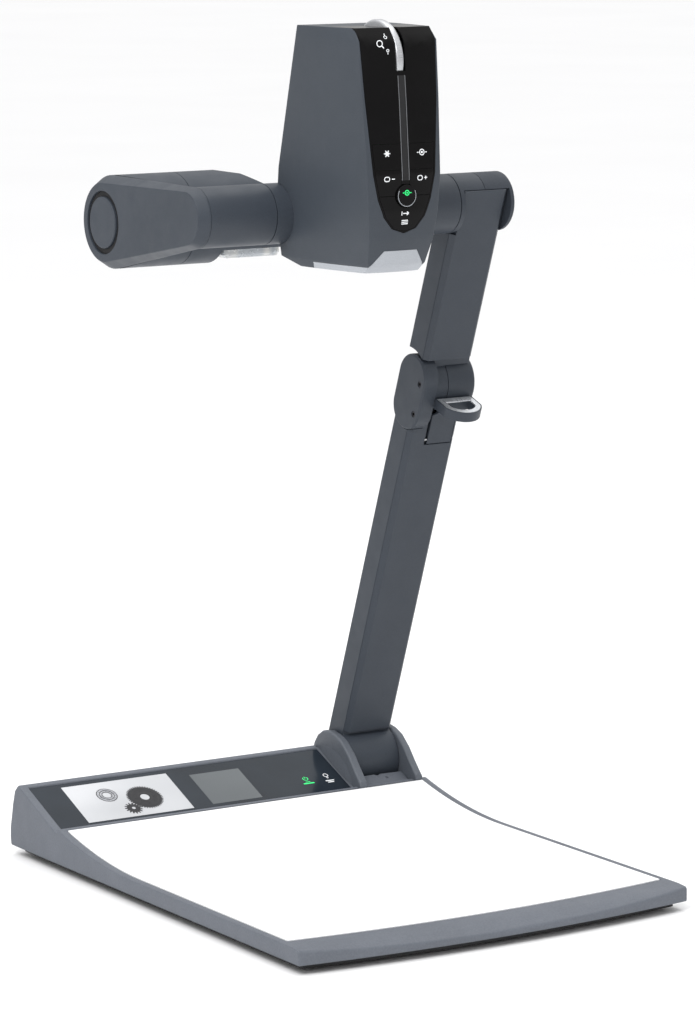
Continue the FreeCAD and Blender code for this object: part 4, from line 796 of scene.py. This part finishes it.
@dataclass
class ControlPanel:
    """Sloped glass with the preview picture, the touch picture and its lit marks."""

    slope: float = 22.9
    thickness: float = 2.0
    picture_x: tuple[float, float] = (-158.5, -48.5)
    picture_v: tuple[float, float] = (-62.4, -5.3)
    touch_x: tuple[float, float] = (-27.5, 25.5)
    touch_v: tuple[float, float] = (-60.9, -12.6)
    body: str = "base"

    def on_glass(self, lift: float = 0.0) -> Matrix:
        """Place on the glass: X across, Y up the slope from its rear edge, Z out.

        Args:
            lift: Distance over the glass, in millimetres.

        Returns:
            The transform.
        """
        _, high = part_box("control_glass")
        turn = math.radians(self.slope)
        out = Vector((0.0, -math.sin(turn), math.cos(turn)))
        rear = Vector((0.0, high.y - self.thickness * MM * math.sin(turn), high.z))
        return Matrix.Translation(rear + out * lift * MM) @ Matrix.Rotation(turn, 4, "X")

    def plate(self, across: tuple[float, float], up: tuple[float, float], name: str, finish: Finish) -> None:
        """Lay a thin lit plate on the glass.

        Args:
            across: Left and right edges, in millimetres.
            up: Lower and upper edges from the glass's rear edge.
            name: Name of the piece.
            finish: Its finish.
        """
        icon = Icon(0.10)
        icon.bar(sum(across) / 2, sum(up) / 2, across[1] - across[0], up[1] - up[0])
        icon.laid(self.on_glass(0.06), name, finish, self.body, "screen")

    def gears(self) -> None:
        """Build the machine parts that the preview picture shows, as a thin relief."""
        dark = bmesh.new()
        gear_blank(dark, -87.0, -36.4, 15.8, 17.6, 44, 0.0, 0.22)
        gear_blank(dark, -105.9, -50.3, 6.2, 8.6, 15, 0.0, 0.16)
        bmesh.ops.transform(dark, matrix=self.on_glass(0.10), verts=dark.verts[:])
        piece(closed(dark), "picture_gears", Finish.GEAR, self.body)
        rim = Icon(0.14)
        rim.arc(-87.0, -36.4, 12.6, 0.7).arc(-87.0, -36.4, 6.6, 1.0)
        for step in range(8):
            angle = math.radians(45.0 * step)
            rim.arc(-87.0 + 9.7 * math.cos(angle), -36.4 + 9.7 * math.sin(angle), 0.9, 0.35)
        rim.laid(self.on_glass(0.36), "picture_gear_rims", Finish.MODULE, self.body, "screen")
        hub = Icon(0.10)
        hub.disc(-87.0, -36.4, 4.4).disc(-105.9, -50.3, 1.7)
        hub.laid(self.on_glass(0.38), "picture_gear_bores", Finish.PICTURE, self.body, "screen")
        ring = Icon(0.20)
        ring.arc(-121.2, -25.6, 8.6, 1.6).arc(-121.2, -25.6, 5.4, 0.9)
        for step in range(6):
            angle = math.radians(60.0 * step + 12.0)
            x, y = -121.2 + 7.0 * math.cos(angle), -25.6 + 7.0 * math.sin(angle)
            ring.bar(x, y, 3.2, 1.1, math.degrees(angle))
        ring.laid(self.on_glass(0.22), "picture_bearing", Finish.PALE_GEAR, self.body, "screen")
        shade = Icon(0.10)
        shade.arc(-121.2, -25.6, 9.8, 0.6).arc(-121.2, -25.6, 7.0, 0.7).arc(-121.2, -25.6, 4.5, 0.5)
        shade.laid(self.on_glass(0.30), "picture_bearing_lines", Finish.MODULE, self.body, "screen")

    def marks(self) -> None:
        """Build the lit power and light marks on the glass."""
        power = Icon(0.12)
        power.arc(82.2, -42.7, 2.5, 0.65, 125.0, 290.0).bar(82.2, -40.9, 0.65, 2.6)
        power.bar(82.2, -50.2, 11.5, 1.5).bar(82.2, -47.9, 5.0, 0.8)
        power.laid(self.on_glass(0.07), "power_mark", Finish.GREEN_INK, self.body, "screen")
        light = Icon(0.12)
        light.arc(105.0, -41.6, 2.3, 0.65).bar(105.0, -45.0, 2.4, 0.6).bar(105.0, -46.1, 1.6, 0.6)
        light.bar(105.0, -50.2, 9.0, 1.3).bar(105.0, -52.6, 6.4, 1.3)
        light.laid(self.on_glass(0.07), "light_mark", Finish.WHITE_INK, self.body, "screen")

    def build(self) -> None:
        """Build the panel's visible pieces."""
        softened("control_glass", 0.3)
        self.plate(self.picture_x, self.picture_v, "preview_picture", Finish.PICTURE)
        self.plate(self.touch_x, self.touch_v, "touch_picture", Finish.TOUCH)
        self.gears()
        self.marks()


@dataclass
class HingeCheeks:
    """Cheeks on both sides of the arm's foot."""

    edge: float = 1.2
    foot_y: Sequence[float] = (176.0, 186.0, 200.0, 216.0, 230.0)
    foot_rise: Sequence[float] = (6.0, 17.0, 20.0, 17.0, 10.0)
    foot_reach: Sequence[float] = (1.5, 7.5, 9.0, 7.5, 3.0)

    def flared_foot(self) -> None:
        """Build the sloping foot that runs from the left cheek down to the glass."""
        low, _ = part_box("cheek_left")
        panel = ControlPanel()
        turn = math.radians(panel.slope)
        mesh = bmesh.new()
        left = low.x
        outline = []
        for y in self.foot_y:
            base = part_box("base_shell")[1].z - (241.0 - y) * MM * math.tan(turn) + 0.0002
            outline.append((y * MM, base))
        start = [mesh.verts.new((left + 0.0004, y, z)) for y, z in outline]
        top = [mesh.verts.new((left + 0.0004, y, z + up * MM)) for (y, z), up in zip(outline, self.foot_rise)]
        foot = [mesh.verts.new((left - out * MM * 0.17, y, z))
                for (y, z), out in zip(outline, self.foot_reach)]
        for index in range(len(outline) - 1):
            mesh.faces.new((foot[index], foot[index + 1], top[index + 1], top[index]))
            mesh.faces.new((start[index], start[index + 1], foot[index + 1], foot[index]))
            mesh.faces.new((start[index + 1], start[index], top[index], top[index + 1]))
        for index in (0, -1):
            mesh.faces.new((start[index], foot[index], top[index]))
        piece(closed(mesh), "cheek_flare", Finish.CHEEK, "base")

    def build(self) -> None:
        """Build the cheeks."""
        for node in ("cheek_left", "cheek_right"):
            softened(node, self.edge, 28.0)
        self.flared_foot()


@dataclass
class RearSockets:
    """Contacts inside the rear sockets."""

    height: float = 28.5
    depth: float = 11.0

    def build(self) -> None:
        """Build the pins and tongues."""
        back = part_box("connector_plate")[1].y
        pins = bmesh.new()
        for x, z in ((-135.0, -2.0), (-128.0, 3.0), (-121.0, -2.0)):
            add_block(pins, Vector((x * MM, back - 0.008, (self.height + z) * MM)), mm(2.0, 12.0, 4.0))
        for step in range(8):
            x = -64.0 + 8.0 * step / 7.0
            add_block(pins, Vector((x * MM, back - 0.009, (self.height - 3.5) * MM)), mm(0.5, 8.0, 0.5))
        ease(pins, 0.00015)
        piece(closed(pins), "socket_contacts", Finish.GOLD, "base")
        tongues = bmesh.new()
        add_block(tongues, Vector((-0.090, back - 0.0085, self.height * MM)), mm(11.0, 12.0, 1.8))
        add_block(tongues, Vector((-0.034, back - 0.0085, (self.height + 1.2) * MM)), mm(10.5, 12.0, 1.6))
        ease(tongues, 0.0002)
        piece(closed(tongues), "socket_tongues", Finish.MODULE, "base")


# ---------------------------------------------------------------- arm


@dataclass
class FoldingArm:
    """Lower and upper arm with their covers, elbow and barrel."""

    edges: dict[str, float] = field(default_factory=lambda: {
        "lower_arm_shell": 0.8, "lower_arm_cover": 0.45, "upper_arm_shell": 0.7, "upper_arm_cover": 0.45,
        "elbow_housing": 0.5, "elbow_drum": 0.4, "top_barrel": 0.35, "barrel_end": 0.4,
        "release_handle": 0.45, "handle_inlay": 0.3,
    })

    def build(self) -> None:
        """Build the arm's pieces."""
        for node, edge in self.edges.items():
            softened(node, edge, 32.0, accept=lambda item: item.calc_length() > 0.0006)


# ---------------------------------------------------------------- head


@dataclass
class CameraHead:
    """Camera head with its gloss panel, keys, wheel and marks."""

    body: str = "camera_head"
    wheel_ribs: int = 72
    rib_depth: float = 0.12
    marks_lift: float = 0.05
    strip_top: float = 719.0
    strip_bottom: float = 631.0
    strip_steps: int = 16
    edges: dict[str, float] = field(default_factory=lambda: {
        "head_shell": 0.5, "head_bezel": 0.5, "front_panel": 0.22, "freeze_key": 0.22, "preset_key": 0.22,
        "focus_minus_key": 0.22, "focus_plus_key": 0.22, "menu_key": 0.22, "af_button": 0.2, "head_tube": 0.4,
    })

    def on_face(self, node: str, x: float, z: float, lift: Optional[float] = None) -> Matrix:
        """Place on the front of a node: X across, Y up, Z out of the face.

        Args:
            node: Frame node that carries the mark.
            x: Place across, in millimetres.
            z: Height, in millimetres.
            lift: Distance over the face, in millimetres.

        Returns:
            The transform.
        """
        mesh = bmesh.new()
        mesh.from_mesh(frame["nodes"][node].data)
        tree = BVHTree.FromBMesh(mesh)
        hit, normal, _, _ = tree.ray_cast(mm(x, -200.0, z), Vector((0.0, 1.0, 0.0)))
        mesh.free()
        if hit is None:
            raise RuntimeError(f"{node} has no face at {x}, {z}")
        if normal.y > 0.0:
            normal = -normal
        across = Vector((0.0, 0.0, 1.0)).cross(normal).normalized()
        up = normal.cross(across)
        turn = Matrix((across, up, normal)).transposed().to_4x4()
        raised = self.marks_lift if lift is None else lift
        return Matrix.Translation(hit + normal * raised * MM) @ turn

    def wheel(self) -> None:
        """Build the zoom wheel with its fine cross ribs."""
        low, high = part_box("zoom_wheel")
        centre = (low + high) / 2.0
        centre.x = 0.0
        half = (high.x - low.x) / 2.0 / MM
        radius = (high.z - low.z) / 2.0 / MM
        mesh = bmesh.new()
        profile = ((-half, 3.2), (half, 3.2), (half, radius - 2.6), (half - 0.9, radius - 0.9),
                   (half - 2.2, radius), (-half + 2.2, radius), (-half + 0.9, radius - 0.9),
                   (-half, radius - 2.6))
        ring_profile(mesh, profile, centre, self.wheel_ribs * 2)
        mesh.verts.ensure_lookup_table()
        for vert in mesh.verts:
            offset = vert.co - centre
            reach = math.hypot(offset.y, offset.z)
            step = round(math.atan2(offset.z, offset.y) / math.tau * self.wheel_ribs * 2)
            if step % 2 and reach > (radius - 1.2) * MM:
                vert.co.y = centre.y + offset.y * (1.0 - self.rib_depth * MM / reach)
                vert.co.z = centre.z + offset.z * (1.0 - self.rib_depth * MM / reach)
        piece(closed(mesh), "zoom_wheel_ribbed", Finish.WHEEL, "zoom_wheel", ("zoom_wheel",), 60.0)

    def strip(self, name: str, x: float, half: float, height: float, finish: Finish) -> None:
        """Build a low strip that follows the panel from the wheel down to the round button.

        Args:
            name: Name of the piece.
            x: Place across, in millimetres.
            half: Half its width.
            height: How far it stands over the panel.
            finish: Its finish.
        """
        mesh = bmesh.new()
        rows = []
        for step in range(self.strip_steps + 1):
            z = self.strip_top - (self.strip_top - self.strip_bottom) * step / self.strip_steps
            place = self.on_face("front_panel", x, z, 0.0)
            rows.append([mesh.verts.new(place @ mm(dx, 0.0, up)) for dx, up in
                         ((-half, -0.05), (half, -0.05), (half * 0.7, height), (-half * 0.7, height))])
        for first, second in zip(rows, rows[1:]):
            for index in range(4):
                mesh.faces.new((first[index - 1], first[index], second[index], second[index - 1]))
        mesh.faces.new(rows[0])
        mesh.faces.new(rows[-1][::-1])
        piece(closed(mesh), name, finish, self.body)

    def groove(self) -> None:
        """Build the dark channel below the wheel, with a thin grey line on each side."""
        self.strip("groove_channel", 0.0, 2.9, 0.06, Finish.GROOVE)
        self.strip("groove_line_left", -3.4, 0.4, 0.2, Finish.TRIM)
        self.strip("groove_line_right", 3.4, 0.4, 0.2, Finish.TRIM)

    def marks(self) -> None:
        """Build the pictograms on the panel and the keys."""
        # The white pictograms below are printed, and their finish glows: painted glow.
        white = Finish.WHITE_INK
        zoom = Icon().arc(0.0, 0.0, 2.6, 0.7).bar(2.9, -2.9, 3.0, 0.9, -45.0)
        zoom.laid(self.on_face("front_panel", -19.5, 746.0), "zoom_mark", white, self.body, "panel_gloss")
        near = Icon().arc(0.0, 0.0, 1.4, 0.5).bar(0.0, 2.8, 0.6, 2.0)
        place = self.on_face("front_panel", -12.5, 751.0)
        near.laid(place, "zoom_near_mark", white, self.body, "panel_gloss")
        far = Icon().arc(0.0, 0.0, 1.1, 0.5).bar(0.0, -2.4, 0.6, 1.6)
        far.laid(self.on_face("front_panel", -12.0, 740.0), "zoom_far_mark", white, self.body, "panel_gloss")
        freeze = Icon()
        for angle in (0.0, 60.0, 120.0):
            freeze.bar(0.0, 0.0, 6.0, 0.7, angle)
        freeze.arc(0.0, 0.0, 1.5, 0.5)
        place = self.on_face("freeze_key", -17.5, 654.0)
        freeze.laid(place, "freeze_mark", white, "freeze_key", "panel_gloss")
        preset = Icon().arc(0.0, 0.0, 2.4, 0.7).disc(0.0, 0.0, 1.0)
        preset.bar(-4.4, 0.0, 1.6, 0.7).bar(4.4, 0.0, 1.6, 0.7)
        place = self.on_face("preset_key", 17.5, 654.0)
        preset.laid(place, "preset_mark", white, "preset_key", "panel_gloss")
        for name, x, node, plus in (("focus_minus_mark", -16.5, "focus_minus_key", False),
                                    ("focus_plus_mark", 16.5, "focus_plus_key", True)):
            focus = Icon().arc(-2.4, 0.0, 1.9, 0.65, 60.0, 240.0).arc(-1.2, 0.0, 1.9, 0.65, -120.0, 240.0)
            focus.bar(4.2, 0.0, 2.8, 0.75)
            if plus:
                focus.bar(4.2, 0.0, 0.75, 2.8)
            focus.laid(self.on_face(node, x, 632.5), name, white, node, "panel_gloss")
        ring = Icon().arc(0.0, 0.0, 8.9, 0.45, 150.0, 240.0)
        place = self.on_face("af_button", 0.0, 618.0, 0.03)
        ring.laid(place, "focus_button_ring", Finish.BEZEL, "af_button", "panel_gloss")
        auto = Icon().arc(0.0, 0.6, 2.0, 0.75).disc(0.0, 0.6, 0.7)
        auto.bar(-3.6, 0.6, 1.5, 0.7).bar(3.6, 0.6, 1.5, 0.7)
        place = self.on_face("af_button", 0.0, 620.0, 0.04)
        auto.laid(place, "auto_focus_mark", Finish.GREEN_INK, "af_button", "panel_gloss")
        source = Icon().bar(-3.4, 0.0, 0.7, 3.4).bar(0.6, 0.0, 5.4, 0.75).bar(2.5, 0.75, 2.4, 0.75, -40.0)
        source.bar(2.5, -0.75, 2.4, 0.75, 40.0)
        source.laid(self.on_face("menu_key", 0.0, 603.0), "external_mark", white, "menu_key", "panel_gloss")
        menu = Icon().bar(0.0, 1.5, 6.4, 0.7).bar(0.0, 0.0, 6.4, 0.7).bar(0.0, -1.5, 6.4, 0.7)
        menu.laid(self.on_face("menu_key", 0.0, 595.5), "menu_mark", white, "menu_key", "panel_gloss")

    def build(self) -> None:
        """Build the head's pieces."""
        for node, edge in self.edges.items():
            softened(node, edge, 34.0, accept=lambda item: item.calc_length() > 0.0005)
        self.wheel()
        self.groove()
        self.marks()


# ---------------------------------------------------------------- lamp


@dataclass
class SwingLamp:
    """Lamp tube, crank, barrel and turning lamp head."""

    edges: dict[str, float] = field(default_factory=lambda: {
        "lamp_tube": 0.5, "lamp_housing": 0.6, "lamp_cap_disc": 0.3, "lamp_head": 0.6,
        "lamp_diffuser": 0.3,
    })

    def build(self) -> None:
        """Build the lamp's pieces."""
        for node, edge in self.edges.items():
            softened(node, edge, 30.0, accept=lambda item: item.calc_length() > 0.0005)


# ---------------------------------------------------------------- stage


@dataclass
class Studio:
    """Floor, lights and camera."""

    camera_place: tuple[float, float, float] = (-1960.0, -3107.0, 927.0)
    forward: tuple[float, float, float] = (0.5277, 0.8343, -0.1594)
    roll: float = -0.12
    lens: float = 149.5
    floor_size: float = 60.0
    dome_rim: float = 0.45
    dome_top: float = 1.35

    def floor(self) -> None:
        """Lay the pale floor."""
        mesh = bmesh.new()
        bmesh.ops.create_grid(mesh, x_segments=1, y_segments=1, size=self.floor_size)
        data = bpy.data.meshes.new("floor")
        mesh.to_mesh(data)
        mesh.free()
        recipe = Recipe("pale floor")
        recipe.into(recipe.ramp(recipe.noise(1.2), (0.93, 0.93, 0.935), (0.95, 0.95, 0.955)), "Base Color")
        recipe.fix(Roughness=0.8)
        data.materials.append(recipe.material)
        plane = bpy.data.objects.new("floor", data)
        plane.location.z = -0.0003
        bpy.context.scene.collection.objects.link(plane)

    def light(self, name: str, place: Vector, target: Vector, size: float, power: float,
              colour: Colour = (1.0, 1.0, 1.0)) -> None:
        """Hang a soft square light.

        Args:
            name: Name of the light.
            place: Where it hangs.
            target: Point that it faces.
            size: Side of the square, in metres.
            power: Watts.
            colour: Its colour.
        """
        data = bpy.data.lights.new(name, "AREA")
        data.size = size
        data.energy = power
        data.color = colour
        lamp = bpy.data.objects.new(name, data)
        lamp.location = place
        lamp.rotation_euler = (target - place).to_track_quat("-Z", "Y").to_euler()
        bpy.context.scene.collection.objects.link(lamp)

    def camera(self) -> None:
        """Set the camera at its measured place."""
        data = bpy.data.cameras.new("camera")
        data.lens = self.lens
        data.sensor_width = 36.0
        data.clip_end = 200.0
        view = bpy.data.objects.new("camera", data)
        turn = Vector(self.forward).to_track_quat("-Z", "Y").to_matrix().to_4x4()
        lean = Matrix.Rotation(math.radians(self.roll), 4, "Z")
        view.matrix_world = Matrix.Translation(mm(*self.camera_place)) @ turn @ lean
        bpy.context.scene.collection.objects.link(view)
        bpy.context.scene.camera = view

    def dome(self) -> None:
        """Light the scene from a soft dome that is brighter overhead than at its rim."""
        world = bpy.data.worlds.new("soft studio")
        world.use_nodes = True
        tree = world.node_tree
        place = tree.nodes.new("ShaderNodeTexCoord").outputs["Generated"]
        split = tree.nodes.new("ShaderNodeSeparateXYZ")
        tree.links.new(place, split.inputs["Vector"])
        spread = tree.nodes.new("ShaderNodeMapRange")
        spread.inputs["To Min"].default_value = self.dome_rim
        spread.inputs["To Max"].default_value = self.dome_top
        tree.links.new(split.outputs["Z"], spread.inputs["Value"])
        tree.nodes["Background"].inputs["Color"].default_value = (1.0, 1.0, 1.0, 1.0)
        tree.links.new(spread.outputs["Result"], tree.nodes["Background"].inputs["Strength"])
        bpy.context.scene.world = world

    def build(self) -> None:
        """Set the stage."""
        self.floor()
        self.dome()
        middle = Vector((0.0, 0.0, 0.35))
        self.light("key light", Vector((-1.8, -1.2, 2.4)), middle, 1.3, 46.0)
        self.light("top light", Vector((0.3, 0.4, 2.6)), middle, 2.0, 14.0)
        self.light("rim light", Vector((1.9, 0.9, 1.3)), middle, 1.0, 3.0)
        self.camera()


def dress_frame() -> None:
    """Give every node of the frame its finish."""
    for node, item in frame["nodes"].items():
        item.data.materials.clear()
        item.data.materials.append(finish_of(node).material())


def main() -> None:
    """Build the document camera."""
    dress_frame()
    for assembly in (Base(), ControlPanel(), HingeCheeks(), RearSockets(), FoldingArm(), CameraHead(),
                     SwingLamp(), Studio()):
        assembly.build()
    bpy.context.scene.view_settings.view_transform = "Standard"
    bpy.context.view_layer.update()


if __name__ == "__main__":
    main()
